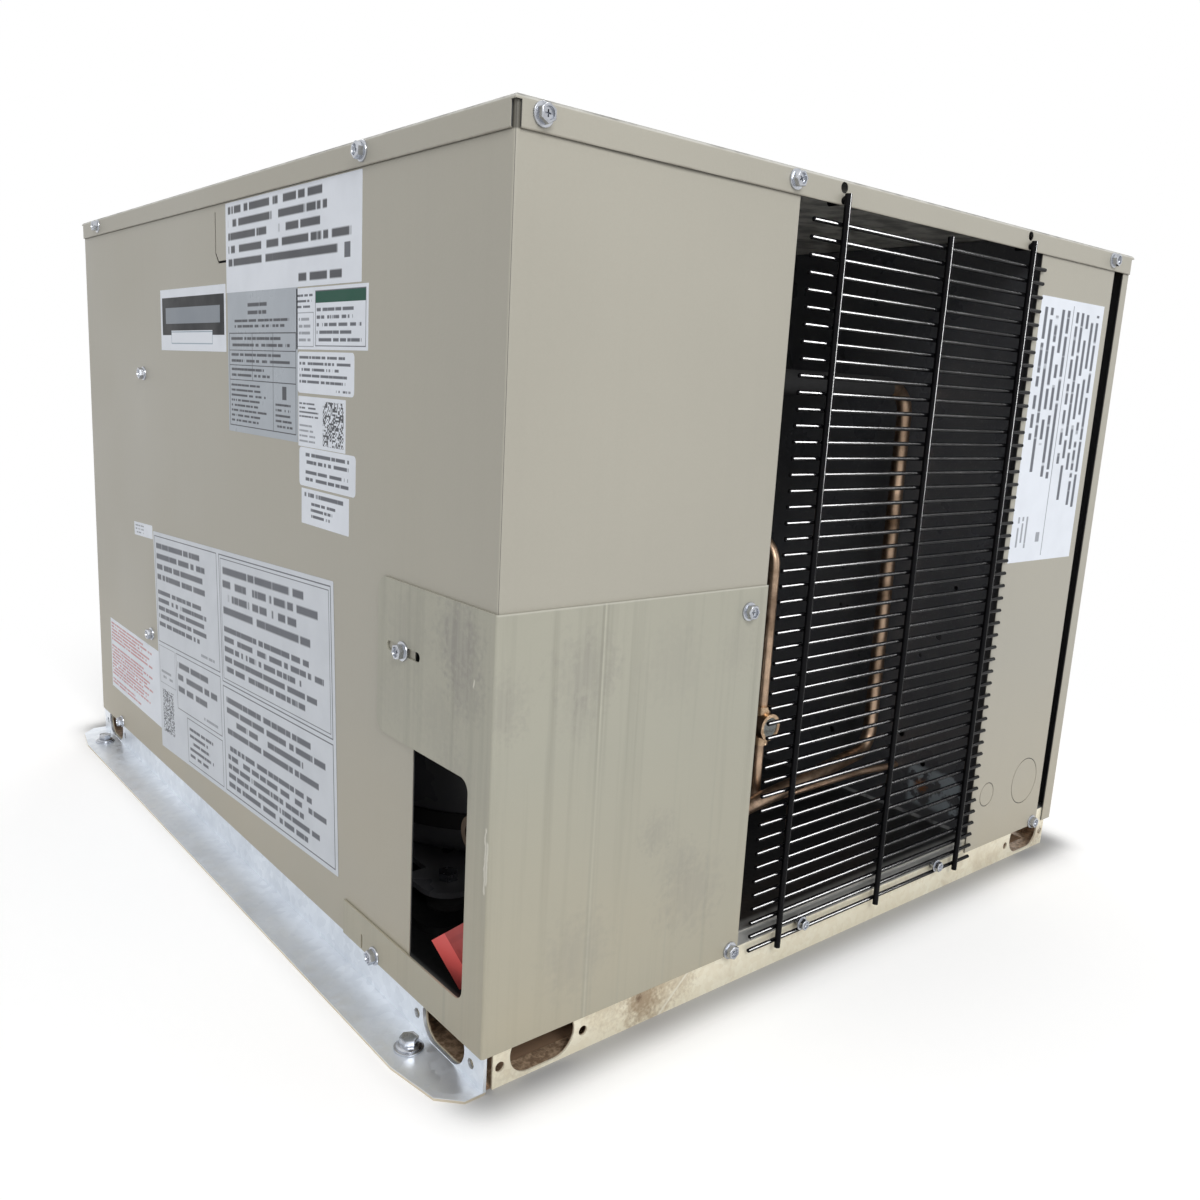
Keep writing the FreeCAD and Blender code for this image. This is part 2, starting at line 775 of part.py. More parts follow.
def tube_path(points, radius):
    """Straight runs joined by arcs that touch them."""
    places = [spot(*point) for point in points]
    edges = []
    start = places[0]
    for before, corner, after in zip(places, places[1:], places[2:]):
        back = (before - corner).normalize()
        ahead = (after - corner).normalize()
        half = back.getAngle(ahead) / 2
        cut = float(radius) / math.tan(half)
        middle = (back + ahead).normalize() * (float(radius) / math.sin(half))
        first = corner + back * cut
        last = corner + ahead * cut
        top = corner + middle - middle.normalize() * float(radius)
        edges.append(Part.LineSegment(start, first).toShape())
        edges.append(Part.Arc(first, top, last).toShape())
        start = last
    edges.append(Part.LineSegment(start, places[-1]).toShape())
    return Part.Wire(edges)


def round_rod(points, width, radius):
    """A solid round rod or closed tube along a path."""
    path = tube_path(points, radius)
    start = path.Edges[0]
    ring = Part.Circle(start.firstVertex().Point, start.tangentAt(0), float(width) / 2)
    return path.makePipeShell([Part.Wire(ring.toShape())], True, False)


def hexagon(across, height, foot):
    """A hexagonal prism, measured across its flats, on a point."""
    corner = float(across) / 2 / math.cos(math.pi / 6)
    turns = [math.pi * i / 3 for i in range(7)]
    ring = [foot + Vector(corner * math.cos(turn), corner * math.sin(turn), 0) for turn in turns]
    return Part.Face(Part.makePolygon(ring)).extrude(UP * float(height))


def shank(width, length, top):
    """A plain shank that hangs from a point."""
    return Part.makeCylinder(float(width) / 2, float(length), top, -UP)


def screw_shape(x, y, z, outward, length):
    """A washer-head hex screw whose washer's inner face lies at a place."""
    start = Vector(0, 0, 0)
    washer = Part.makeCylinder(float(d.washer_width) / 2, float(d.washer_thick))
    head = hexagon(d.hex_width, d.washer_thick + d.hex_height, start)
    made = washer.multiFuse([head, shank(d.shank_width, length, start)]).removeSplitter()
    made.Placement = Placement(spot(x, y, z), Rotation(UP, outward))
    return made


# Casing

def make_base_pan():
    """Tray turned upside down: a raised floor on four flanges, each with a lip turned in at its foot."""
    pan = body("base_pan")
    plan = sketch(pan, "XY")
    box_outline(plan, -PAN_X, -PAN_Y, PAN_X, PAN_Y)
    pad(pan, plan, d.pan_height)
    raised = sketch(pan, "XY", d.pan_height)
    reach = d.foot_spread / 2 + d.platform_margin
    x0, x1 = COMPRESSOR_X - reach, COMPRESSOR_X + reach
    y0, y1 = COMPRESSOR_Y - reach, COMPRESSOR_Y + reach
    rounded_box(raised, x0, y0, x1, y1, d.platform_margin / 2)
    pad(pan, raised, d.platform_height)
    round_edges(pan, d.pan_edge_radius, lambda edge: level_edge(edge, d.pan_height) and (
        near(abs(edge.BoundBox.Center.x), PAN_X) or near(abs(edge.BoundBox.Center.y), PAN_Y)))
    mouth = sketch(pan, "XY")
    box_outline(mouth, d.pan_lip - PAN_X, d.pan_lip - PAN_Y, PAN_X - d.pan_lip, PAN_Y - d.pan_lip)
    pocket(pan, mouth, 2 * d.pan_sheet, reverse=True)
    under = sketch(pan, "XY", d.pan_sheet)
    box_outline(under, d.pan_sheet - PAN_X, d.pan_sheet - PAN_Y, PAN_X - d.pan_sheet, PAN_Y - d.pan_sheet)
    pocket(pan, under, d.pan_height - 2 * d.pan_sheet, reverse=True)
    wall = d.pan_sheet
    hollow = sketch(pan, "XY", d.pan_height - d.pan_sheet)
    rounded_box(hollow, x0 + wall, y0 + wall, x1 - wall, y1 - wall, d.platform_margin / 2 - wall)
    pocket(pan, hollow, d.platform_height, reverse=True)
    corners = sketch(pan, "XY")
    for x in (-PAN_X, PAN_X - d.pan_corner_notch):
        for y in (-PAN_Y, PAN_Y - d.pan_corner_notch):
            box_outline(corners, x, y, x + d.pan_corner_notch, y + d.pan_corner_notch)
    pocket(pan, corners, d.pan_height - 2 * d.pan_edge_radius, reverse=True)
    straight = (d.handhole_width - d.handhole_height) / 2
    centre = d.handhole_foot + d.handhole_height / 2
    ends = sketch(pan, "XZ", PAN_Y)
    sides = sketch(pan, "YZ", PAN_X)
    for side in (-1, 1):
        x, y = side * HANDHOLE_CENTRE, side * SIDE_HANDHOLE_CENTRE
        slot(ends, x - straight, centre, x + straight, centre, d.handhole_height)
        slot(sides, y - straight, centre, y + straight, centre, d.handhole_height)
        for place_x in (PAN_HOLE_INNER, PAN_HOLE_OUTER):
            circle(ends, side * place_x, d.pan_hole_height, d.pan_hole_width)
        for place_y in (SIDE_HOLE_INNER, SIDE_HOLE_OUTER):
            circle(sides, side * place_y, d.pan_hole_height, d.pan_hole_width)
    pocket(pan, ends, 2 * PAN_Y)
    pocket(pan, sides, 2 * PAN_X)
    front_holes = sketch(pan, "XZ", PAN_Y)
    for x in (CORNER_LOWER_SCREW, CONTROL_FOOT_SCREW):
        circle(front_holes, x, d.foot_screw_height, d.screw_hole_width)
    for x in (GUARD_SCREW_LEFT, GUARD_SCREW_RIGHT):
        circle(front_holes, x, GUARD_SCREW_HEIGHT, d.screw_hole_width)
    pocket(pan, front_holes, 2 * d.pan_sheet)
    side_holes = sketch(pan, "YZ", PAN_X)
    for y in (SIDE_FOOT_SCREW, CORNER_FOOT_SCREW):
        circle(side_holes, y, d.foot_screw_height, d.screw_hole_width)
    pocket(pan, side_holes, 2 * PAN_X)
    floor_holes = sketch(pan, "XY", PLATFORM)
    for x, y in COMPRESSOR_BOLT_PLACES:
        circle(floor_holes, x, y, d.compressor_bolt_width + 2 * d.fit_gap)
    pocket(pan, floor_holes, 2 * d.pan_sheet)


def make_mounting_rail():
    """Angle along the left side: its upright tucks between the pan and the panel."""
    rail = body("mounting_rail")
    profile = sketch(rail, "XZ", -PAN_Y)
    inner, outer = -RAIL_INNER, -RAIL_OUTER
    outline(profile, [
        (inner, 0), (inner, d.rail_height), (outer, d.rail_height), (outer, d.rail_sheet),
        (outer - d.rail_reach, d.rail_sheet), (outer - d.rail_reach, 0),
    ])
    length = PAN_Y + HALF_DEPTH
    pad(rail, profile, length)
    round_edges(rail, d.rail_sheet, lambda edge: near(edge.Length, length) and (
        near(edge.BoundBox.Center.x, inner) and near(edge.BoundBox.Center.z, 0)))
    noses = sketch(rail, "XY", d.rail_sheet)
    edge_x = outer - d.rail_reach
    for side, end in ((-1, -HALF_DEPTH), (1, PAN_Y)):
        outline(noses, [
            (edge_x, end - side * 2 * d.rail_nose), (edge_x + d.rail_nose / 4, end - side * d.rail_nose / 2),
            (edge_x + d.rail_nose_reach + d.rail_nose / 4, end), (edge_x - OVERRUN, end),
            (edge_x - OVERRUN, end - side * 2 * d.rail_nose),
        ])
    pocket(rail, noses, 2 * d.rail_sheet)
    straight = (d.handhole_width - d.handhole_height) / 2
    centre = d.handhole_foot + d.handhole_height / 2
    side_cuts = sketch(rail, "YZ", inner + OVERRUN)
    for side in (-1, 1):
        y = side * SIDE_HANDHOLE_CENTRE
        slot(side_cuts, y - straight, centre, y + straight, centre, d.handhole_height)
        for hole in (SIDE_HOLE_INNER, SIDE_HOLE_OUTER):
            circle(side_cuts, side * hole, d.pan_hole_height, d.pan_hole_width)
    for y in (SIDE_FOOT_SCREW, CORNER_FOOT_SCREW):
        circle(side_cuts, y, d.foot_screw_height, d.screw_hole_width)
    pocket(rail, side_cuts, d.rail_sheet + 2 * OVERRUN)
    bolts = sketch(rail, "XY", d.rail_sheet)
    for y in RAIL_BOLT_PLACES:
        circle(bolts, outer - d.rail_bolt_out, y, d.rail_hole_width)
    pocket(rail, bolts, 2 * d.rail_sheet)


def make_left_panel():
    """Side panel folded round the front and rear corners, cut away at the line opening."""
    panel = body("left_panel")
    sheet_ = d.panel_sheet
    plan = sketch(panel, "XY", d.casing_foot)
    edge = GRILLE_LEFT
    rear = -(FIN_HALF + d.coil_plate + d.fit_gap)
    lip = d.return_lip - HALF_DEPTH
    outline(plan, [
        (edge, -HALF_DEPTH), (edge, lip), (edge - sheet_, lip), (edge - sheet_, -INSIDE_Y),
        (-INSIDE_X, -INSIDE_Y), (-INSIDE_X, INSIDE_Y), (rear, INSIDE_Y),
        (rear, HALF_DEPTH), (-HALF_WIDTH, HALF_DEPTH), (-HALF_WIDTH, -HALF_DEPTH),
    ])
    pad(panel, plan, PANEL_TOP - d.casing_foot)
    corner = sketch(panel, "XY", d.casing_foot)
    box_outline(corner, -HALF_WIDTH - OVERRUN, -HALF_DEPTH - OVERRUN, edge + OVERRUN, LINE_REAR)
    pocket(panel, corner, COVER_RETURN_FOOT - d.casing_foot, reverse=True)
    side = sketch(panel, "YZ", -HALF_WIDTH)
    for y, z in LEFT_SCREWS:
        circle(side, y, z, d.screw_hole_width)
    for y in (d.u_slit_left - d.u_slit_width / 2, d.u_slit_right + d.u_slit_width / 2):
        slot(side, y, U_SLIT_FOOT + d.u_slit_radius, y, FLANGE_FOOT - d.u_slit_top_gap, d.u_slit_width)
    pocket(panel, side, sheet_ + OVERRUN, reverse=True)
    turn = sketch(panel, "YZ", -HALF_WIDTH)
    slot(turn, d.u_slit_left - d.u_slit_radius, U_SLIT_FOOT, d.u_slit_right + d.u_slit_radius,
         U_SLIT_FOOT, d.u_slit_width)
    pocket(panel, turn, sheet_ + OVERRUN, reverse=True)
    for y, turned in ((d.u_slit_left, 1), (d.u_slit_right, -1)):
        bend = sketch(panel, "YZ", -HALF_WIDTH)
        leg = y - turned * d.u_slit_width / 2
        slot(bend, leg, U_SLIT_FOOT + d.u_slit_radius, y - turned * d.u_slit_radius, U_SLIT_FOOT,
             d.u_slit_width)
        pocket(panel, bend, sheet_ + OVERRUN, reverse=True)
    front = sketch(panel, "XZ", HALF_DEPTH)
    for x in TOP_FRONT_SCREWS[:2]:
        circle(front, x, FLANGE_SCREW_HEIGHT, d.screw_hole_width)
    circle(front, *CORNER_UPPER_SCREW, d.screw_hole_width)
    pocket(panel, front, sheet_ + OVERRUN)
    back = sketch(panel, "XZ", -HALF_DEPTH)
    circle(back, TOP_REAR_SCREWS[0], FLANGE_SCREW_HEIGHT, d.screw_hole_width)
    pocket(panel, back, sheet_ + OVERRUN, reverse=True)
    round_edges(panel, d.fold_radius, lambda edge: corner_fold(edge, HALF_WIDTH, HALF_DEPTH))


def make_right_panel():
    """Side panel with a narrow tapering strip at the front and a return at the rear."""
    panel = body("right_panel")
    plan = sketch(panel, "XY", d.casing_foot)
    strip = STRIP_FOOT
    rear = FIN_HALF + d.coil_plate + d.fit_gap
    outline(plan, [
        (strip, -HALF_DEPTH), (HALF_WIDTH, -HALF_DEPTH), (HALF_WIDTH, HALF_DEPTH), (rear, HALF_DEPTH),
        (rear, INSIDE_Y), (INSIDE_X, INSIDE_Y), (INSIDE_X, -INSIDE_Y), (strip, -INSIDE_Y),
    ])
    pad(panel, plan, PANEL_TOP - d.casing_foot)
    taper = sketch(panel, "XZ", HALF_DEPTH)
    outline(taper, [
        (strip - OVERRUN, d.casing_foot - OVERRUN), (strip, d.casing_foot - OVERRUN),
        (STRIP_TOP, PANEL_TOP + OVERRUN), (strip - OVERRUN, PANEL_TOP + OVERRUN),
    ])
    pocket(panel, taper, d.panel_sheet + OVERRUN)
    side = sketch(panel, "YZ", HALF_WIDTH)
    for y, z in RIGHT_SCREWS:
        circle(side, y, z, d.screw_hole_width)
    pocket(panel, side, d.panel_sheet + OVERRUN)
    back = sketch(panel, "XZ", -HALF_DEPTH)
    circle(back, TOP_REAR_SCREWS[1], FLANGE_SCREW_HEIGHT, d.screw_hole_width)
    pocket(panel, back, d.panel_sheet + OVERRUN, reverse=True)
    round_edges(panel, d.fold_radius, lambda edge: corner_fold(edge, HALF_WIDTH, HALF_DEPTH))


def make_corner_cover():
    """Outer corner plate with a front face and two tabs that frame the line opening."""
    cover = body("corner_cover")
    sheet_ = d.panel_sheet
    plan = sketch(cover, "XY", d.casing_foot)
    inner_x, inner_y = sheet_ - COVER_X, sheet_ - COVER_Y
    outline(plan, [
        (GRILLE_LEFT, -COVER_Y), (GRILLE_LEFT, inner_y), (inner_x, inner_y), (inner_x, LOWER_TAB_REAR),
        (-COVER_X, LOWER_TAB_REAR), (-COVER_X, -COVER_Y),
    ])
    pad(cover, plan, d.corner_cover_top - d.casing_foot)
    tabs = sketch(cover, "YZ", -COVER_X)
    rear = LOWER_TAB_REAR + 2 * d.tab_radius
    rounded_box(tabs, LINE_FRONT, d.line_foot, rear, d.line_top, d.line_radius)
    pocket(cover, tabs, sheet_ + OVERRUN, reverse=True)
    above = sketch(cover, "YZ", -COVER_X)
    box_outline(above, TAB_REAR, d.line_foot + d.line_radius,
                LOWER_TAB_REAR + OVERRUN, d.corner_cover_top + OVERRUN)
    pocket(cover, above, sheet_ + OVERRUN, reverse=True)
    side = sketch(cover, "YZ", -COVER_X)
    slot(side, SLOT_FRONT, d.slot_height, SLOT_REAR, d.slot_height, d.slot_width)
    circle(side, CORNER_FOOT_SCREW, d.foot_screw_height, d.screw_hole_width)
    slot(side, SLIT_PLACE, d.foot_screw_height - d.slit_length / 4, SLIT_PLACE,
         d.foot_screw_height + d.slit_length * 3 / 4, d.slit_width)
    pocket(cover, side, sheet_ + OVERRUN, reverse=True)
    front = sketch(cover, "XZ", COVER_Y)
    circle(front, *CORNER_UPPER_SCREW, d.screw_hole_width)
    circle(front, CORNER_LOWER_SCREW, d.foot_screw_height, d.screw_hole_width)
    pocket(cover, front, sheet_ + OVERRUN)
    round_edges(cover, d.fold_radius, lambda edge: corner_fold(edge, COVER_X, COVER_Y))
    round_edges(cover, d.tab_radius, lambda edge: near(edge.BoundBox.XLength, sheet_) and (
        near(edge.Length, sheet_) and near(edge.BoundBox.Center.y, TAB_REAR)))


def make_control_cover():
    """Flat cover of the control compartment with two knockouts pressed into it."""
    cover = body("control_cover")
    face = sketch(cover, "XZ", HALF_DEPTH)
    box_outline(face, GRILLE_RIGHT, d.casing_foot, CONTROL_RIGHT, PANEL_TOP)
    pad(cover, face, d.panel_sheet, reverse=True)
    lip = sketch(cover, "XZ", INSIDE_Y)
    lip_foot = d.pan_height + d.lip_foot_gap
    box_outline(lip, CONTROL_RIGHT - d.panel_sheet, lip_foot, CONTROL_RIGHT, PANEL_TOP)
    pad(cover, lip, d.return_lip, reverse=True)
    rings = sketch(cover, "XZ", HALF_DEPTH)
    for x, width in (
        (SMALL_KNOCKOUT_X, d.small_knockout_width), (LARGE_KNOCKOUT_X, d.large_knockout_width)
    ):
        circle(rings, x, d.knockout_height, width)
        circle(rings, x, d.knockout_height, width - 2 * d.knockout_groove)
    pocket(cover, rings, d.panel_sheet / 2)
    holes = sketch(cover, "XZ", HALF_DEPTH)
    circle(holes, TOP_FRONT_SCREWS[2], FLANGE_SCREW_HEIGHT, d.screw_hole_width)
    circle(holes, CONTROL_FOOT_SCREW, d.foot_screw_height, d.screw_hole_width)
    pocket(cover, holes, d.panel_sheet + OVERRUN)


def make_top_cover():
    """Shallow lid with rounded top edges, open notches at its corners and holes for the guard's hooks."""
    lid = body("top_cover")
    plan = sketch(lid, "XY", FLANGE_FOOT)
    box_outline(plan, -COVER_X, -COVER_Y, COVER_X, COVER_Y)
    pad(lid, plan, d.cover_flange)
    round_edges(lid, d.cover_edge_radius, lambda edge: level_edge(edge, d.casing_height))
    under = sketch(lid, "XY", FLANGE_FOOT)
    wall = d.panel_sheet
    box_outline(under, -(COVER_X - wall), -(COVER_Y - wall), COVER_X - wall, COVER_Y - wall)
    pocket(lid, under, d.cover_flange - wall, reverse=True)
    notches = sketch(lid, "XY", FLANGE_FOOT)
    for x in (-COVER_X, COVER_X - d.corner_notch):
        for y in (-COVER_Y, COVER_Y - d.corner_notch):
            box_outline(notches, x, y, x + d.corner_notch, y + d.corner_notch)
    pocket(lid, notches, d.cover_flange - d.cover_edge_radius, reverse=True)
    front = sketch(lid, "XZ", COVER_Y)
    for x in TOP_FRONT_SCREWS:
        circle(front, x, FLANGE_SCREW_HEIGHT, d.screw_hole_width)
    for x in (UPRIGHT_LEFT, UPRIGHT_RIGHT):
        circle(front, x, HOOK_HEIGHT, d.hook_hole_width)
    pocket(lid, front, wall + OVERRUN)
    back = sketch(lid, "XZ", -COVER_Y)
    for x in TOP_REAR_SCREWS:
        circle(back, x, FLANGE_SCREW_HEIGHT, d.screw_hole_width)
    pocket(lid, back, wall + OVERRUN, reverse=True)
    sides = sketch(lid, "YZ", COVER_X)
    for y in TOP_SIDE_SCREWS:
        circle(sides, y, FLANGE_SCREW_HEIGHT, d.screw_hole_width)
    pocket(lid, sides, 2 * COVER_X)


def make_wire_guard():
    """Welded guard: level wires behind three uprights, two of which hook into the lid's flange."""
    guard = body("wire_guard")
    section = sketch(guard, "YZ", GUARD_LEFT)
    circle(section, WIRE_Y, d.guard_first_wire, d.wire_width)
    wire = pad(guard, section, GUARD_RIGHT - GUARD_LEFT)
    rows = guard.newObject("PartDesign::LinearPattern", "wire_rows")
    rows.Originals = [wire]
    rows.Direction = (section, ["V_Axis"])
    rows.Occurrences = int(d.wire_count)
    bind(rows, Length=GUARD_HEIGHT)
    guard.Tip = rows
    doc.recompute()
    for x, hooked in ((UPRIGHT_LEFT, True), (UPRIGHT_MIDDLE, False), (UPRIGHT_RIGHT, True)):
        path = sketch(guard, "YZ", x)
        top = HOOK_HEIGHT - d.hook_radius if hooked else MIDDLE_UPRIGHT_TOP
        rise = path.addGeometry(
            Part.LineSegment(spot(UPRIGHT_Y, d.guard_foot, 0), spot(UPRIGHT_Y, top, 0)), False)
        tie_point(path, rise, 1, UPRIGHT_Y, d.guard_foot)
        tie_point(path, rise, 2, UPRIGHT_Y, top)
        if hooked:
            turn = Part.Circle(spot(UPRIGHT_Y + d.hook_radius, top, 0), UP, float(d.hook_radius))
            arc = path.addGeometry(Part.ArcOfCircle(turn, math.pi / 2, math.pi), False)
            tip_y = UPRIGHT_Y + d.hook_radius + d.hook_reach
            start = spot(UPRIGHT_Y + d.hook_radius, HOOK_HEIGHT, 0)
            tip = path.addGeometry(Part.LineSegment(start, spot(tip_y, HOOK_HEIGHT, 0)), False)
            path.addConstraint(Sketcher.Constraint("Tangent", rise, 2, arc, 2))
            path.addConstraint(Sketcher.Constraint("Tangent", arc, 1, tip, 1))
            tie(path, "Radius", arc, d.hook_radius)
            tie(path, "DistanceX", -1, 1, tip, 2, tip_y)
        end = sketch(guard, "XY", d.guard_foot)
        circle(end, x, UPRIGHT_Y, d.upright_width)
        doc.recompute()
        upright = guard.newObject("PartDesign::AdditivePipe", "upright")
        upright.Profile = end
        upright.Spine = (path, [f"Edge{i + 1}" for i in range(len(path.Shape.Edges))])
        guard.Tip = upright
        doc.recompute()


def make_control_partition():
    """Black bent wall of the control compartment, with small punched holes."""
    wall = body("control_partition")
    x0, t = PARTITION_X, d.panel_sheet
    front, rear = -PAN_Y, PARTITION_REAR
    side = INSIDE_X - d.fit_gap
    plan = sketch(wall, "XY", d.pan_height)
    flange = x0 + d.partition_flange
    outline(plan, [
        (x0, front), (flange, front), (flange, front + t), (x0 + t, front + t), (x0 + t, rear - t),
        (side, rear - t), (side, rear), (x0, rear),
    ])
    pad(wall, plan, PANEL_TOP - d.fit_gap - d.pan_height)
    holes = sketch(wall, "YZ", x0 + t)
    for back, z, width in PARTITION_HOLES:
        circle(holes, back - HALF_DEPTH, z, width)
    circle(holes, PRESSURE_TUBE_Y, d.pressure_tube_height, d.control_tube_width + 2 * d.fit_gap)
    pocket(wall, holes, t + OVERRUN)


# Screws

def make_screws():
    """Groups of the same washer-head screw, each group for one set of pieces."""
    short = d.screw_length
    front, left, rear = -COVER_Y, -COVER_X, COVER_Y
    top = [(x, front, FLANGE_SCREW_HEIGHT, FRONT) for x in TOP_FRONT_SCREWS]
    top += [(left, y, FLANGE_SCREW_HEIGHT, LEFT) for y in TOP_SIDE_SCREWS]
    top += [(-left, y, FLANGE_SCREW_HEIGHT, RIGHT) for y in TOP_SIDE_SCREWS]
    top += [(x, rear, FLANGE_SCREW_HEIGHT, REAR) for x in TOP_REAR_SCREWS]
    side = [(-HALF_WIDTH, BULKHEAD_SCREW_PLACE, z, LEFT) for z in BULKHEAD_SCREW_HEIGHTS]
    side += [(HALF_WIDTH, BULKHEAD_SCREW_PLACE, z, RIGHT) for z in BULKHEAD_SCREW_HEIGHTS]
    foot = [(-HALF_WIDTH, SIDE_FOOT_SCREW, d.foot_screw_height, LEFT)]
    foot += [(HALF_WIDTH, y, d.foot_screw_height, RIGHT) for y in (SIDE_FOOT_SCREW, CORNER_FOOT_SCREW)]
    foot += [(CONTROL_FOOT_SCREW, -HALF_DEPTH, d.foot_screw_height, FRONT)]
    corner = [
        (CORNER_UPPER_SCREW[0], front, CORNER_UPPER_SCREW[1], FRONT),
        (CORNER_LOWER_SCREW, front, d.foot_screw_height, FRONT),
        (left, CORNER_SLOT_SCREW, d.slot_height, LEFT),
        (left, CORNER_FOOT_SCREW, d.foot_screw_height, LEFT),
    ]
    guard_face = WIRE_Y - d.wire_width / 2
    guard = [(x, guard_face, GUARD_SCREW_HEIGHT, FRONT) for x in (GUARD_SCREW_LEFT, GUARD_SCREW_RIGHT)]
    groups = {
        "top_cover_screws": top, "side_panel_screws": side, "foot_screws": foot,
        "corner_cover_screws": corner, "guard_screws": guard,
    }
    for label, places in groups.items():
        feature(label, Part.makeCompound([screw_shape(x, y, z, way, short) for x, y, z, way in places]))


def make_rail_bolts():
    """Hex flange bolts in the rail, cut off level with its underside."""
    bolts = []
    for y in RAIL_BOLT_PLACES:
        centre = spot(-RAIL_OUTER - d.rail_bolt_out, y, d.rail_sheet)
        skirt = Part.makeCone(
            float(d.rail_bolt_flange) / 2, float(d.rail_bolt_head) / 2, float(d.rail_bolt_skirt), centre)
        head = hexagon(d.rail_bolt_head, d.rail_bolt_head_height, centre)
        bolts.append(skirt.multiFuse([head, shank(d.rail_bolt_width, d.rail_sheet, centre)]).removeSplitter())
    feature("rail_bolts", Part.makeCompound(bolts))


# Fan section

def make_fan_bulkhead():
    """Cross wall with side and foot flanges and a round hole for the fan's ring."""
    wall = body("fan_bulkhead")
    t, side = d.panel_sheet, INSIDE_X - d.fit_gap
    top = PANEL_TOP - d.bulkhead_top_gap
    plan = sketch(wall, "XY", d.pan_height)
    outline(plan, [
        (-side, BULKHEAD_Y), (side, BULKHEAD_Y), (side, BULKHEAD_Y + d.bulkhead_flange),
        (side - t, BULKHEAD_Y + d.bulkhead_flange), (side - t, BULKHEAD_Y + t), (t - side, BULKHEAD_Y + t),
        (t - side, BULKHEAD_Y + d.bulkhead_flange), (-side, BULKHEAD_Y + d.bulkhead_flange),
    ])
    pad(wall, plan, top - d.pan_height)
    foot = sketch(wall, "XY", d.pan_height)
    box_outline(foot, -side, BULKHEAD_Y, side, BULKHEAD_Y + d.bulkhead_flange)
    pad(wall, foot, t)
    cuts = sketch(wall, "XZ", -BULKHEAD_Y)
    circle(cuts, 0, FAN_HEIGHT, d.orifice_width + 2 * t)
    circle(cuts, -COIL_LINE_X, COIL_INLET_Z, d.suction_width + d.line_hole_gap)
    circle(cuts, -COIL_LINE_X, COIL_OUTLET_Z, d.liquid_width + d.line_hole_gap)
    pocket(wall, cuts, 2 * t)
    screws = sketch(wall, "YZ", side)
    for z in BULKHEAD_SCREW_HEIGHTS:
        circle(screws, BULKHEAD_SCREW_PLACE, z, d.screw_hole_width)
    pocket(wall, screws, 2 * side)


def make_fan_ring():
    """Collar round the fan, with a flange that lies against the cross wall."""
    ring = body("fan_ring")
    t, face = d.panel_sheet, BULKHEAD_Y
    flange = sketch(ring, "XZ", -face)
    circle(flange, 0, FAN_HEIGHT, d.orifice_width + 2 * d.ring_flange)
    pad(ring, flange, t)
    collar = sketch(ring, "XZ", -face)
    circle(collar, 0, FAN_HEIGHT, d.orifice_width + 2 * t)
    pad(ring, collar, d.orifice_depth)
    throat = sketch(ring, "XZ", d.orifice_depth + t - face)
    circle(throat, 0, FAN_HEIGHT, d.orifice_width)
    pocket(ring, throat, d.orifice_depth + 2 * t)
    round_edges(ring, d.orifice_lip, lambda e: near(e.BoundBox.YMax, face - t) and near(
        e.BoundBox.YMin, face - t) and near(e.BoundBox.XLength, d.orifice_width + 2 * t))


def make_fan():
    """Four twisted, cambered blades on a hub, turning about the motor shaft."""
    fan = body("fan_blades")
    place(fan, 0, FAN_Y, FAN_HEIGHT)
    hub = sketch(fan, "XZ", -d.hub_length / 2)
    circle(hub, 0, 0, d.hub_width)
    pad(fan, hub, d.hub_length)
    sections = []
    root, tip = d.hub_width / 2 - d.blade_root_sink, d.fan_width / 2 + d.blade_tip_trim
    for out, chord, pitch in (
        (root, d.blade_root_chord, d.blade_root_pitch), (tip, d.blade_tip_chord, d.blade_tip_pitch)
    ):
        section = sketch(fan, "YZ", out)
        section.AttachmentOffset = Placement(spot(0, 0, out), Rotation(UP, float(pitch)))
        bind(section, AttachmentOffset__Rotation__Angle=pitch)
        blade_section(section, chord)
        sections.append(section)
    blade = fan.newObject("PartDesign::AdditiveLoft", "blade")
    blade.Profile = sections[0]
    blade.Sections = sections[1:]
    fan.Tip = blade
    doc.recompute()
    blades = fan.newObject("PartDesign::PolarPattern", "blades")
    blades.Originals = [blade]
    blades.Axis = (next(f for f in fan.Origin.OriginFeatures if f.Role == "Y_Axis"), [""])
    blades.Angle = 360
    blades.Occurrences = int(d.blade_count)
    fan.Tip = blades
    doc.recompute()
    trim = sketch(fan, "XZ", -d.fan_width / 4)
    circle(trim, 0, 0, 2 * (tip + d.blade_tip_chord))
    circle(trim, 0, 0, d.fan_width)
    pocket(fan, trim, d.fan_width / 2, reverse=True)
    bore = sketch(fan, "XZ", -d.hub_length)
    circle(bore, 0, 0, d.shaft_width)
    pocket(fan, bore, 2 * d.hub_length, reverse=True)


def blade_section(drawn, chord):
    """A thin cambered section: two arcs with the same rise, one sheet apart, and two short ends."""
    half, thick, rise = chord / 2, d.blade_thick, d.blade_camber
    arcs = []
    for shift in (0, thick):
        low = Vector(float(shift), float(-half), 0)
        mid = Vector(float(rise + shift), 0, 0)
        high = Vector(float(shift), float(half), 0)
        arcs.append(drawn.addGeometry(Part.Arc(low, mid, high), False))
        crown = drawn.addGeometry(Part.Point(mid), True)
        drawn.addConstraint(Sketcher.Constraint("PointOnObject", crown, 1, arcs[-1]))
        tie_point(drawn, crown, 1, rise + shift, 0)
        for end, y in ((1, -half), (2, half)):
            if near(drawn.getPoint(arcs[-1], end).y, y):
                tie_point(drawn, arcs[-1], end, shift, y)
            else:
                tie_point(drawn, arcs[-1], end, shift, -y)
    for end in (1, 2):
        start, finish = drawn.getPoint(arcs[0], end), drawn.getPoint(arcs[1], end)
        line = drawn.addGeometry(Part.LineSegment(start, finish), False)
        drawn.addConstraint(Sketcher.Constraint("Coincident", line, 1, arcs[0], end))
        drawn.addConstraint(Sketcher.Constraint("Coincident", line, 2, arcs[1], end))


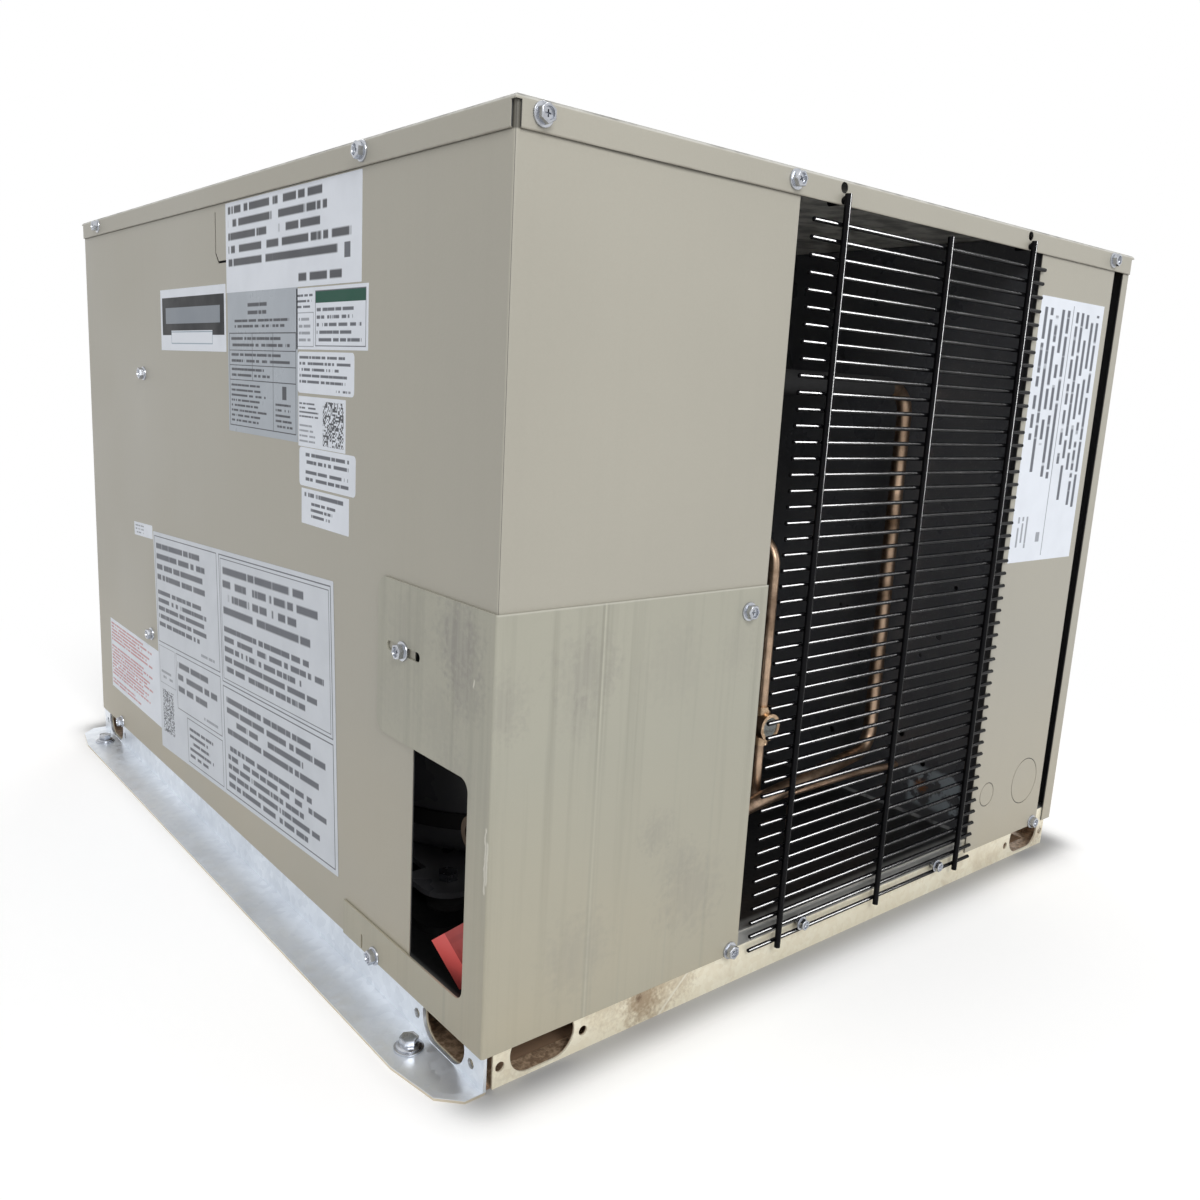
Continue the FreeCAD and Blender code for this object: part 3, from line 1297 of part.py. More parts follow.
def make_motor():
    """Round motor with softened ends, and the shaft that carries the fan."""
    motor = body("fan_motor")
    place(motor, 0, MOTOR_REAR, FAN_HEIGHT)
    shell = sketch(motor, "XZ")
    circle(shell, 0, 0, d.motor_width)
    pad(motor, shell, d.motor_length)
    round_edges(motor, d.motor_cap, lambda edge: near(edge.BoundBox.XLength, d.motor_width) and (
        near(edge.BoundBox.YLength, 0)))
    boss = sketch(motor, "XZ", -d.motor_boss)
    circle(boss, 0, 0, d.motor_width / 3)
    pad(motor, boss, d.motor_boss + OVERRUN)
    bore = sketch(motor, "XZ", -d.motor_boss)
    circle(bore, 0, 0, d.shaft_width + 2 * d.shaft_play)
    pocket(motor, bore, d.shaft_in_motor + 2 * d.motor_boss, reverse=True)
    length = d.shaft_in_motor + FAN_Y + d.hub_length / 2 + d.shaft_nose - MOTOR_REAR
    keep(bar("motor_shaft", d.shaft_width / 2, length, 0, MOTOR_REAR - d.shaft_in_motor + d.motor_boss,
             FAN_HEIGHT, RIGHT, -90))


def make_motor_stand():
    """Folded stand with two saddle plates, a foot and a deck for the strap."""
    stand = body("motor_stand")
    half, shoulder = d.stand_foot_width / 2, d.motor_width / 2 + d.stand_shoulder
    front_y = STAND_Y - d.stand_depth / 2
    face = sketch(stand, "XZ", -front_y)
    outline(face, [
        (-half, d.pan_height), (half, d.pan_height), (shoulder, FAN_HEIGHT), (-shoulder, FAN_HEIGHT),
    ])
    pad(stand, face, d.stand_depth, reverse=True)
    saddle = sketch(stand, "XZ", -front_y)
    circle(saddle, 0, FAN_HEIGHT, d.motor_width + 2 * d.fit_gap)
    pocket(stand, saddle, d.stand_depth + OVERRUN)
    inside = sketch(stand, "YZ", half + OVERRUN)
    t = d.stand_sheet
    box_outline(inside, front_y + t, d.pan_height + t, front_y + d.stand_depth - t, FAN_HEIGHT - t)
    pocket(stand, inside, 2 * half + 2 * OVERRUN)
    window = sketch(stand, "XZ", -front_y)
    foot, head = d.pan_height + d.window_foot, FAN_HEIGHT - d.motor_width / 2 - d.window_head
    rounded_box(window, -half / 2, foot, half / 2, head, d.window_radius)
    pocket(stand, window, d.stand_depth + OVERRUN)
    holes = sketch(stand, "XY", FAN_HEIGHT)
    for side in (-1, 1):
        circle(holes, side * STRAP_SCREW_X, STAND_Y, d.screw_hole_width)
    pocket(stand, holes, 2 * t)
    strap = body("motor_strap")
    ring = sketch(strap, "XZ", -(STAND_Y - d.strap_width / 2))
    inner = d.motor_width + 2 * d.fit_gap
    circle(ring, 0, FAN_HEIGHT, inner + 2 * d.strap_sheet)
    circle(ring, 0, FAN_HEIGHT, inner)
    pad(strap, ring, d.strap_width, reverse=True)
    lower = sketch(strap, "XZ", -(STAND_Y - d.strap_width))
    box_outline(lower, -inner, FAN_HEIGHT - inner, inner, FAN_HEIGHT)
    pocket(strap, lower, 2 * d.strap_width)
    ears = sketch(strap, "XY", FAN_HEIGHT)
    y0, y1 = STAND_Y - d.strap_width / 2, STAND_Y + d.strap_width / 2
    for side in (-1, 1):
        box_outline(ears, side * (inner / 2 + d.strap_sheet / 2), y0, side * (shoulder - d.fit_gap), y1)
    pad(strap, ears, d.strap_sheet)
    ear_holes = sketch(strap, "XY", FAN_HEIGHT + d.strap_sheet)
    for side in (-1, 1):
        circle(ear_holes, side * STRAP_SCREW_X, STAND_Y, d.screw_hole_width)
    pocket(strap, ear_holes, 2 * d.strap_sheet)
    rest = FAN_HEIGHT + d.strap_sheet
    screws = [screw_shape(side * STRAP_SCREW_X, STAND_Y, rest, UP, d.screw_length) for side in (-1, 1)]
    feature("strap_screws", Part.makeCompound(screws))


# Coil

def make_coil():
    """Fin block between two end plates, with hairpin bends outside the plates."""
    width = 2 * FIN_HALF
    fins = block("fin_core", width, d.fin_depth, FIN_HEIGHT, -FIN_HALF, FIN_FRONT, FIN_FOOT)
    fins.Label = "coil_fins"
    keep(fins)
    for label, x in (("coil_plate_left", -(FIN_HALF + d.coil_plate)), ("coil_plate_right", FIN_HALF)):
        plate = body(label)
        side = sketch(plate, "YZ", x)
        box_outline(side, FIN_FRONT, d.pan_height, FIN_REAR, FIN_FOOT + FIN_HEIGHT)
        pad(plate, side, d.coil_plate)
        holes = sketch(plate, "YZ", x + d.coil_plate)
        for row in range(int(d.coil_tube_count)):
            circle(holes, COIL_Y, tube_height(row), d.coil_tube_width + d.fit_gap)
        pocket(plate, holes, 2 * d.coil_plate)
    bends = []
    reach = FIN_HALF
    for side, first in ((-1, 1), (1, 0)):
        for row in range(first, int(d.coil_tube_count) - 1, 2):
            bends.append(hairpin(side * reach, tube_height(row), side))
    feature("coil_bends", Part.makeCompound(bends))


def tube_height(row):
    """Height of a coil tube's centre."""
    return FIRST_TUBE_Z + row * TUBE_PITCH


def hairpin(x, z, side):
    """One bend between a coil tube and the next one up: a half turn with a short stub at each end."""
    radius = TUBE_PITCH / 2
    bend_x = x + side * 2 * d.coil_plate
    low, low_end = spot(x, COIL_Y, z), spot(bend_x, COIL_Y, z)
    rise = UP * float(TUBE_PITCH)
    crown = low_end + rise / 2 + RIGHT * float(side * radius)
    path = Part.Wire([
        Part.LineSegment(low, low_end).toShape(),
        Part.Arc(low_end, crown, low_end + rise).toShape(),
        Part.LineSegment(low_end + rise, low + rise).toShape(),
    ])
    section = Part.Wire(Part.Circle(low, RIGHT, float(d.coil_tube_width) / 2).toShape())
    return path.makePipeShell([section], True, False)


# Refrigerant circuit

def make_compressor_shell():
    """Hermetic shell with a rolled seam round its waist."""
    shell = body("compressor_shell")
    place(shell, COMPRESSOR_X, COMPRESSOR_Y, SHELL_FOOT)
    drum = sketch(shell, "XY")
    circle(drum, 0, 0, d.shell_width)
    pad(shell, drum, d.shell_height)
    round_edges(shell, d.shell_dome, lambda edge: rim(edge, d.shell_width) and near(
        edge.BoundBox.ZMin, d.shell_height))
    round_edges(shell, d.shell_heel, lambda edge: rim(edge, d.shell_width) and near(edge.BoundBox.ZMax, 0))
    seam = sketch(shell, "XY", d.shell_height * d.seam_share)
    circle(seam, 0, 0, d.shell_width + 2 * d.shell_seam)
    pad(shell, seam, d.shell_seam)


def make_compressor_feet():
    """Foot plate with four ears round a bolt each."""
    x, y = COMPRESSOR_X, COMPRESSOR_Y
    feet = body("compressor_feet")
    plate = sketch(feet, "XY", FOOT_PLATE_Z)
    reach = d.foot_spread / 2 + d.foot_width / 2
    rounded_box(plate, x - reach, y - reach, x + reach, y + reach, d.foot_width / 2 - d.foot_corner_flat)
    pad(feet, plate, d.foot_sheet)
    waist = sketch(feet, "XY", FOOT_PLATE_Z + d.foot_sheet)
    inset = reach - d.foot_width
    for side in (-1, 1):
        edge = x + side * (reach + OVERRUN)
        box_outline(waist, edge, y - inset, edge - side * d.foot_waist, y + inset)
        edge = y + side * (reach + OVERRUN)
        box_outline(waist, x - inset, edge, x + inset, edge - side * d.foot_waist)
    pocket(feet, waist, 2 * d.foot_sheet)
    holes = sketch(feet, "XY", FOOT_PLATE_Z + d.foot_sheet)
    for bolt_x, bolt_y in COMPRESSOR_BOLT_PLACES:
        circle(holes, bolt_x, bolt_y, d.compressor_bolt_width + 2 * d.fit_gap)
    pocket(feet, holes, 2 * d.foot_sheet)


def make_compressor_mounts():
    """Waisted rubber grommets between the pan and the foot plate, and the bolts through them."""
    grommets, bolts = [], []
    bore_radius = float(d.compressor_bolt_width / 2 + d.fit_gap)
    for x, y in COMPRESSOR_BOLT_PLACES:
        base = spot(x, y, PLATFORM)
        rubber = Part.makeCylinder(float(d.grommet_width) / 2, float(d.grommet_height), base)
        waist = Part.makeTorus(
            float(d.grommet_width / 2 + d.grommet_waist), float(d.grommet_height) / 4,
            base + UP * float(d.grommet_height / 2))
        bore = Part.makeCylinder(bore_radius, float(d.grommet_height), base)
        grommets.append(rubber.cut([waist, bore]))
        top = base + UP * float(d.grommet_height + d.foot_sheet)
        head = hexagon(d.compressor_bolt_head, d.compressor_bolt_head_height, top)
        length = d.grommet_height + d.foot_sheet + d.pan_sheet + d.compressor_bolt_tail
        bolts.append(head.fuse(shank(d.compressor_bolt_width, length, top)).removeSplitter())
    feature("compressor_grommets", Part.makeCompound(grommets))
    feature("compressor_bolts", Part.makeCompound(bolts))


def make_compressor_trim():
    """Terminal cover seated on the shell, and the heater band round its heel."""
    x, y = COMPRESSOR_X, COMPRESSOR_Y
    seat = d.shell_width / 2 + d.fit_gap
    inner_x, near_y = x + d.shell_width / 2 - d.terminal_box_sink, y - d.terminal_box_width / 2
    box = block(
        "terminal_box", d.terminal_box_depth, d.terminal_box_width, d.terminal_box_height,
        inner_x, near_y, SHELL_FOOT + d.terminal_box_rise)
    keep(remove("terminal_cover", box, bar("terminal_box_seat", seat, d.shell_height, x, y, SHELL_FOOT)))
    foot = SHELL_FOOT + d.shell_heel + d.heater_rise
    outer = bar("heater_outer", seat + d.heater_thick, d.heater_height, x, y, foot)
    inner = bar("heater_inner", seat, d.heater_height, x, y, foot)
    keep(remove("crankcase_heater", outer, inner))


def make_receiver():
    """Upright receiver on a ring foot, with its outlet valve on top."""
    x, y = RECEIVER_X, RECEIVER_Y
    tank = body("receiver")
    place(tank, x, y, RECEIVER_FOOT)
    drum = sketch(tank, "XY")
    circle(drum, 0, 0, d.receiver_width)
    pad(tank, drum, d.receiver_height)
    round_edges(tank, d.receiver_dome, lambda edge: rim(edge, d.receiver_width))
    radius = d.receiver_width / 2 - d.receiver_dome
    ring = bar("stand_outer", radius, d.receiver_stand, x, y, d.pan_height)
    hole = bar("stand_inner", radius - d.receiver_stand_sheet, d.receiver_stand, x, y, d.pan_height)
    keep(remove("receiver_stand", ring, hole))
    barrel = bar("valve_barrel", d.receiver_valve_width / 2, d.receiver_valve_height, x, y, RECEIVER_TOP)
    cap_foot = RECEIVER_TOP + d.receiver_valve_height
    cap = bar("valve_cap", d.receiver_cap_width / 2, d.receiver_cap_height, x, y, cap_foot)
    port = bar(
        "valve_port", d.receiver_port_width / 2, d.receiver_port_reach, x, y, RECEIVER_PORT_Z, REAR, -90)
    keep(join("receiver_valve", [barrel, cap, port]))


def make_suction_line():
    """Line from the suction valve up over the compressor, with its foam sleeve."""
    x, y, low = RISER_X, RISER_Y, d.suction_valve_height
    route = [
        (VALVE_PORT_X, VALVE_Y, low), (SUCTION_DIP_X - d.suction_dip_lead, VALVE_Y, low),
        (SUCTION_DIP_X, VALVE_Y + d.suction_dip_offset, d.run_height), (x, y, d.run_height),
        (x, y, d.riser_top), (COMPRESSOR_X, y, d.riser_top), (COMPRESSOR_X, y, SUCTION_PORT_Z),
        (COMPRESSOR_X, COMPRESSOR_Y - d.shell_width / 2, SUCTION_PORT_Z),
    ]
    feature("suction_line", round_rod(route, d.suction_width, d.bend_radius))
    start, end = COMPRESSOR_X + d.foam_start, x - d.foam_end
    bore = d.suction_width / 2 + d.fit_gap
    outer = bar("foam_outer", d.foam_width / 2, end - start, start, y, d.riser_top, REAR, 90)
    inner = bar("foam_inner", bore, end - start, start, y, d.riser_top, REAR, 90)
    keep(remove("suction_foam", outer, inner))


def make_coil_lines():
    """Hot line from the compressor to the coil's top, and the drain from its foot to the receiver."""
    top_x = COMPRESSOR_X + d.shell_width / 4
    feature("discharge_line", round_rod([
        (top_x, COMPRESSOR_Y, SHELL_FOOT + d.shell_height), (top_x, COMPRESSOR_Y, COIL_INLET_Z),
        (-COIL_LINE_X, COMPRESSOR_Y, COIL_INLET_Z), (-COIL_LINE_X, COIL_Y, COIL_INLET_Z),
        (-FIN_HALF, COIL_Y, COIL_INLET_Z),
    ], d.suction_width, d.elbow_radius))
    feature("condensate_line", round_rod([
        (-FIN_HALF, COIL_Y, COIL_OUTLET_Z), (-COIL_LINE_X, COIL_Y, COIL_OUTLET_Z),
        (-COIL_LINE_X, RECEIVER_Y, COIL_OUTLET_Z),
        (RECEIVER_X - d.receiver_width / 2, RECEIVER_Y, COIL_OUTLET_Z),
    ], d.liquid_width, d.elbow_radius))


def make_liquid_lines():
    """Lines from the receiver through the drier and the sight glass to the liquid valve, and the
    thin tube that branches off to the pressure control."""
    x, y = LIQUID_RISER_X, LIQUID_RISER_Y
    glass, low, tube_z = d.sight_glass_height, d.liquid_valve_height, d.pressure_tube_height
    feature("receiver_line", round_rod([
        (RECEIVER_X - d.receiver_port_reach, RECEIVER_Y, RECEIVER_PORT_Z),
        (x, RECEIVER_Y, RECEIVER_PORT_Z), (x, DRIER_Y + d.drier_length / 2, RECEIVER_PORT_Z),
    ], d.liquid_width, d.bend_radius))
    feature("liquid_line", round_rod([
        (x, DRIER_Y - d.drier_length / 2, RECEIVER_PORT_Z), (x, y, RECEIVER_PORT_Z),
        (x, y, glass + d.sight_glass_reach),
    ], d.liquid_width, d.bend_radius))
    feature("liquid_tail", round_rod([
        (x, y, glass - d.sight_glass_reach), (x, y, low), (SUCTION_DIP_X, y, low),
        (SUCTION_DIP_X - d.liquid_dip_lead, VALVE_Y, low), (VALVE_PORT_X, VALVE_Y, low),
    ], d.liquid_width, d.bend_radius))
    feature("pressure_tube", round_rod([
        (x + d.liquid_width / 2, y, tube_z), (RISER_X - d.control_tube_lead, y, tube_z),
        (PARTITION_X - d.control_tube_entry, PRESSURE_TUBE_Y, tube_z),
        (PRESSURE_X, PRESSURE_TUBE_Y, tube_z), (PRESSURE_X, PRESSURE_TUBE_Y, d.pressure_control_foot),
    ], d.control_tube_width, d.pressure_bend))


def make_filter_drier():
    """Barrel with rounded shoulders on two narrow necks."""
    drier = body("filter_drier")
    place(drier, LIQUID_RISER_X, DRIER_Y + d.drier_length / 2, RECEIVER_PORT_Z)
    necks = sketch(drier, "XZ")
    circle(necks, 0, 0, d.liquid_width + d.drier_neck)
    pad(drier, necks, d.drier_length)
    barrel = sketch(drier, "XZ", d.drier_length * d.drier_end_share)
    circle(barrel, 0, 0, d.drier_width)
    pad(drier, barrel, d.drier_length * (1 - 2 * d.drier_end_share))
    round_edges(drier, d.drier_width / 5, lambda edge: near(edge.BoundBox.XLength, d.drier_width) and near(
        edge.BoundBox.YLength, 0))


def make_sight_glass():
    """Spool in the liquid line with an eye that faces the front and holds a pane."""
    x, y, z, reach = LIQUID_RISER_X, LIQUID_RISER_Y, d.sight_glass_height, d.sight_glass_reach
    rear = y + d.sight_glass_eye_rear
    pane_y = rear - d.sight_glass_eye_length + d.sight_glass_recess
    spool = bar("glass_spool", d.sight_glass_spool / 2, 2 * reach, x, y, z - reach)
    eye = bar("glass_eye", d.sight_glass_eye / 2, d.sight_glass_eye_length, x, rear, z, RIGHT, 90)
    recess = bar("glass_recess", d.sight_glass_pane / 2, d.sight_glass_recess, x, pane_y, z, RIGHT, 90)
    keep(remove("sight_glass", join("glass_body", [spool, eye]), recess))
    keep(bar("sight_glass_window", d.sight_glass_pane / 2, d.sight_glass_pane_thick, x, pane_y, z, RIGHT, 90))


def make_service_valve(label, z, line_width):
    """Service valve with a square waist, a bonnet and a stem with two flats."""
    valve = body(label)
    place(valve, VALVE_X, VALVE_Y, z)
    barrel = sketch(valve, "YZ", -d.valve_length / 2)
    circle(barrel, 0, 0, d.valve_width)
    pad(valve, barrel, d.valve_length)
    waist = sketch(valve, "YZ", -d.valve_waist / 2)
    half = d.valve_width / 2 + d.valve_waist_step
    rounded_box(waist, -half, -half, half, half, d.valve_waist_radius)
    pad(valve, waist, d.valve_waist)
    bonnet = sketch(valve, "XY")
    circle(bonnet, 0, 0, d.bonnet_width)
    pad(valve, bonnet, d.bonnet_height)
    socket = sketch(valve, "YZ", -d.valve_length / 2)
    circle(socket, 0, 0, line_width + 2 * d.solder_play)
    pocket(valve, socket, d.socket_depth, reverse=True)
    seat = sketch(valve, "XY", d.bonnet_height)
    circle(seat, 0, 0, d.stem_width + 2 * d.shaft_play)
    pocket(valve, seat, d.bonnet_height - d.stem_seat)
    stem = body(label + "_stem")
    place(stem, VALVE_X, VALVE_Y, z)
    rod = sketch(stem, "XY", d.stem_seat)
    circle(rod, 0, 0, d.stem_width)
    pad(stem, rod, d.bonnet_height - d.stem_seat + d.stem_rise)
    flats = sketch(stem, "XY", d.bonnet_height + d.stem_rise)
    flat = d.stem_width * d.stem_flat_share
    for side in (-1, 1):
        box_outline(flats, side * flat, -d.stem_width, side * d.stem_width, d.stem_width)
    pocket(stem, flats, d.stem_rise - d.stem_shoulder)


def make_valve_bracket():
    """Angle on the pan's floor with a hole for each service valve."""
    bracket = body("valve_bracket")
    t, floor = d.stand_sheet, d.pan_height
    x = VALVE_X + d.valve_waist / 2 + d.fit_gap
    side = sketch(bracket, "XZ", -(VALVE_Y + d.bracket_width / 2))
    top = d.suction_valve_height + d.valve_width
    outline(side, [
        (x, floor), (x + d.bracket_foot, floor), (x + d.bracket_foot, floor + t), (x + t, floor + t),
        (x + t, top), (x, top),
    ])
    pad(bracket, side, d.bracket_width)
    holes = sketch(bracket, "YZ", x + t)
    for z in (d.suction_valve_height, d.liquid_valve_height):
        circle(holes, VALVE_Y, z, d.valve_width + d.fit_gap)
    pocket(bracket, holes, 2 * t)


# Control compartment

def make_contactor():
    """Stepped contactor with a well in which its armature slides."""
    base = body("contactor_base")
    place(base, PARTITION_FACE, CONTACTOR_Y, d.contactor_z)
    foot = sketch(base, "XY")
    rounded_box(foot, 0, 0, d.contactor_depth, d.contactor_width, d.contactor_radius)
    pad(base, foot, d.contactor_tall)
    well = sketch(base, "YZ", d.contactor_depth)
    cx, cz = d.contactor_width / 2, d.contactor_tall / 2
    half, tall = d.armature_width / 2 + d.slide_play, d.armature_tall / 2 + d.slide_play
    box_outline(well, cx - half, cz - tall, cx + half, cz + tall)
    pocket(base, well, d.contactor_well)
    steps = sketch(base, "YZ", d.contactor_depth)
    for lower in (0, d.contactor_tall - d.contactor_step):
        box_outline(steps, -OVERRUN, lower, d.contactor_width + OVERRUN, lower + d.contactor_step)
    pocket(base, steps, d.contactor_step)
    armature = body("contactor_armature")
    rest = PARTITION_FACE + d.contactor_depth - d.contactor_well + d.armature_travel + d.slide_play
    place(armature, rest, CONTACTOR_Y + cx, d.contactor_z + cz)
    face = sketch(armature, "YZ")
    box_outline(face, -d.armature_width / 2, -d.armature_tall / 2, d.armature_width / 2, d.armature_tall / 2)
    pad(armature, face, d.contactor_well)
    round_edges(armature, d.armature_radius, lambda edge: near(edge.BoundBox.Center.x, d.contactor_well))


def make_capacitor():
    """Capacitor can held to the cross wall by a strap with two ears."""
    wall = PARTITION_REAR - d.panel_sheet
    radius, x, foot, t = d.capacitor_width / 2, CAPACITOR_X, CAPACITOR_STRAP_Z, d.can_strap_sheet
    y = wall - radius - d.fit_gap
    keep(bar("run_capacitor", radius, d.capacitor_tall, x, y, d.capacitor_z))
    band = bar("can_strap_band", radius + t, d.strap_width, x, y, foot)
    ears = block(
        "can_strap_ears", d.capacitor_width + 2 * d.can_strap_ear, t, d.strap_width,
        x - radius - d.can_strap_ear, wall - t, foot)
    bore = bar("can_strap_bore", radius + d.fit_gap / 2, d.strap_width, x, y, foot)
    depth = d.strap_width / 2
    behind = block("can_strap_wall", d.capacitor_width, depth, d.strap_width, x - radius, wall, foot)
    ring, tools = join("can_strap_ring", [band, ears]), join("can_strap_tools", [bore, behind])
    keep(remove("capacitor_strap", ring, tools))


def make_terminals():
    """Terminal block with a row of open bays."""
    terminals = body("terminal_block")
    place(terminals, PARTITION_FACE, TERMINAL_Y, d.terminal_z)
    profile = sketch(terminals, "YZ")
    box_outline(profile, 0, 0, d.terminal_width, d.terminal_tall)
    pad(terminals, profile, d.terminal_depth)
    bays = sketch(terminals, "YZ", d.terminal_depth)
    wall = d.terminal_wall
    pitch = (d.terminal_width - wall) / d.terminal_bays
    for bay in range(int(d.terminal_bays)):
        box_outline(bays, wall + bay * pitch, wall, (bay + 1) * pitch, d.terminal_tall - wall)
    pocket(terminals, bays, d.terminal_depth / 2)


def make_pressure_control():
    """Pressure control whose reset button slides in a round well."""
    switch = body("pressure_control")
    place(switch, PARTITION_FACE, PRESSURE_TUBE_Y, d.pressure_control_foot)
    plan = sketch(switch, "XY")
    half = d.pressure_width / 2
    rounded_box(plan, 0, -half, d.pressure_depth, half, d.pressure_radius)
    pad(switch, plan, d.pressure_tall)
    well = sketch(switch, "YZ", d.pressure_depth)
    circle(well, 0, d.pressure_tall - d.reset_drop, d.reset_width + 2 * d.slide_play)
    pocket(switch, well, d.reset_well)
    rest = PARTITION_FACE + d.pressure_depth - d.reset_well + d.reset_travel + d.slide_play
    height = d.pressure_control_foot + d.pressure_tall - d.reset_drop
    keep(bar("reset_button", d.reset_width / 2, d.reset_well, rest, PRESSURE_TUBE_Y, height, REAR, 90))


make_base_pan()
make_mounting_rail()
make_left_panel()
make_right_panel()
make_corner_cover()
make_control_cover()
make_top_cover()
make_wire_guard()
make_control_partition()
make_screws()
make_rail_bolts()
make_fan_bulkhead()
make_fan_ring()
make_fan()
make_motor()
make_motor_stand()
make_coil()
make_compressor_shell()
make_compressor_feet()
make_compressor_mounts()
make_compressor_trim()
make_receiver()
make_suction_line()
make_coil_lines()
make_liquid_lines()
make_filter_drier()
make_sight_glass()
make_service_valve("suction_valve", d.suction_valve_height, d.suction_width)
make_service_valve("liquid_valve", d.liquid_valve_height, d.liquid_width)
make_valve_bracket()
make_contactor()
make_capacitor()
make_terminals()
make_pressure_control()
doc.recompute()


# Every object and every finished sub-part is checked before anything is written

for piece in doc.Objects:
    if "Invalid" in piece.State or "Error" in piece.State:
        raise ValueError(f"{piece.Label} did not recompute: {piece.State}")
for piece in NODES:
    if piece.Shape.isNull() or not piece.Shape.isValid() or not piece.Shape.Solids:
        raise ValueError(f"{piece.Label} has no valid solid")

os.makedirs("parts", exist_ok=True)
for piece in NODES:
    piece.Shape.exportStep(f"parts/{piece.Label}.step")
print(len(NODES), "sub-parts written")
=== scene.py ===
# %% [markdown]
# # A refrigeration condensing unit, dressed for its picture
# The real thing is a sheet-metal casing on a galvanised pan, with a black wire guard across its
# front. The CAD model already holds every piece at its true size, so this lesson loads it as a
# fixed frame and spends its effort on finishes, fasteners, stickers and light.

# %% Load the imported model
import math

import bpy
from mathutils import Euler, Matrix, Vector


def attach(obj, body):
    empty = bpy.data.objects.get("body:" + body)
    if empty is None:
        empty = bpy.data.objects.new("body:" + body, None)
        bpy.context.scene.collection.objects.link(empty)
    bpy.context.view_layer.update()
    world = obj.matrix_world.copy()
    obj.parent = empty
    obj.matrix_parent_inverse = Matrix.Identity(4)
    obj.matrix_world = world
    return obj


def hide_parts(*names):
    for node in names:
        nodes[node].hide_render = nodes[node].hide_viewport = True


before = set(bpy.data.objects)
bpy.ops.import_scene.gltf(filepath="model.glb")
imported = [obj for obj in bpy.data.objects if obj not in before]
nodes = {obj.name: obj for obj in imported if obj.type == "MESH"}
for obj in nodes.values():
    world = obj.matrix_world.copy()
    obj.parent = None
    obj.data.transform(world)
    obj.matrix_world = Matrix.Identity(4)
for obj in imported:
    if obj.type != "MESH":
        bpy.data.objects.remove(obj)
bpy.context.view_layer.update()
bpy.ops.object.select_all(action="DESELECT")

# %% [markdown]
# ## Camera
# The photograph was taken from the front left, a little below the lid, with a wide lens held
# slightly tilted. The place, the three turns and the focal length were solved from the casing's
# corners, so the render can be laid over the picture. A constraint could aim the camera too, but a
# tilted horizon is easier to give as plain angles.

# %% Camera
CAMERA_PLACE = (-0.6376, -0.8404, 0.4089)
CAMERA_TURN = (78.606, -3.111, -39.468)
FOCAL_LENGTH = 31.68
SENSOR_WIDTH = 36

bpy.ops.object.camera_add(location=CAMERA_PLACE, rotation=[math.radians(a) for a in CAMERA_TURN])
camera = bpy.context.object
camera.data.lens = FOCAL_LENGTH
camera.data.sensor_width = SENSOR_WIDTH
camera.data.clip_start = 0.01
bpy.context.scene.camera = camera
print("camera at", tuple(round(v, 3) for v in camera.location), "lens", camera.data.lens, "mm")

# %% [markdown]
# ## Floor, room and lamps
# A product picture has one large soft lamp and a bright room all round. The room's light comes from
# the world colour. What the camera and shiny metal see of the room is plain white, which the Light
# Path node picks, so the background is white without more light on the object.
#
# The paper floor takes the object's shadow. The same Light Path trick fades it to plain white away
# from the casing, so that no horizon shows. The fade follows the distance from the casing's
# rectangle, which four Vector Math nodes give: absolute value, less the half size, not below zero,
# and length. Under the casing the paper is painted dark brown as shade, which only the handholes
# show. Close round the foot the paper's colour greys and the white lift is held back: a painted
# contact shadow, like the soft contact shadow of the picture.

# %% Floor
FLOOR_SIZE = 14

bpy.ops.mesh.primitive_plane_add(size=FLOOR_SIZE, location=(0, 0, 0))
floor = bpy.context.object
floor.name = "studio_floor"
print("floor of", FLOOR_SIZE, "m")


# %% What the camera and shiny metal see
def seen_rays(tree):
    """1 for camera, glossy and transmission rays, 0 for the rays that light things."""
    path = tree.nodes.new("ShaderNodeLightPath")
    total = path.outputs["Is Camera Ray"]
    for kind in ("Is Glossy Ray", "Is Transmission Ray"):
        add = tree.nodes.new("ShaderNodeMath")
        add.operation = "ADD"
        add.use_clamp = True
        tree.links.new(total, add.inputs[0])
        tree.links.new(path.outputs[kind], add.inputs[1])
        total = add.outputs[0]
    return total


def mixed(tree, amount, one, two):
    """Mixes two shaders by an amount."""
    mix = tree.nodes.new("ShaderNodeMixShader")
    for target, socket in (("Fac", amount), (1, one), (2, two)):
        tree.links.new(socket, mix.inputs[target])
    return mix.outputs[0]


def glow(tree, kind, strength):
    """A white emission or background of a given strength."""
    made = tree.nodes.new("ShaderNode" + kind)
    made.inputs["Color"].default_value = (1, 1, 1, 1)
    made.inputs["Strength"].default_value = strength
    return made.outputs[0]


def ramp(tree, value, near, far, start=0.0, end=1.0, kind="SMOOTHSTEP"):
    """Maps a distance onto an amount."""
    made = tree.nodes.new("ShaderNodeMapRange")
    made.interpolation_type = kind
    tree.links.new(value, made.inputs["Value"])
    for name, setting in (("From Min", near), ("From Max", far), ("To Min", start), ("To Max", end)):
        made.inputs[name].default_value = setting
    return made.outputs[0]


print("light path helpers ready")

# %% Paper floor
FOOT_HALF_SIZE = (0.322, 0.385, 0)
PAPER_LIFT = 0.34
LIFT_REACH = (0.0, 0.055)
FADE = (0.09, 0.6)
UNDER_CASING_SHADE_REACH = (0.0, 0.0005)
CONTACT_SHADOW_REACH, CONTACT_SHADOW_TONES = (0.006, 0.036), (0.42, 0.9)

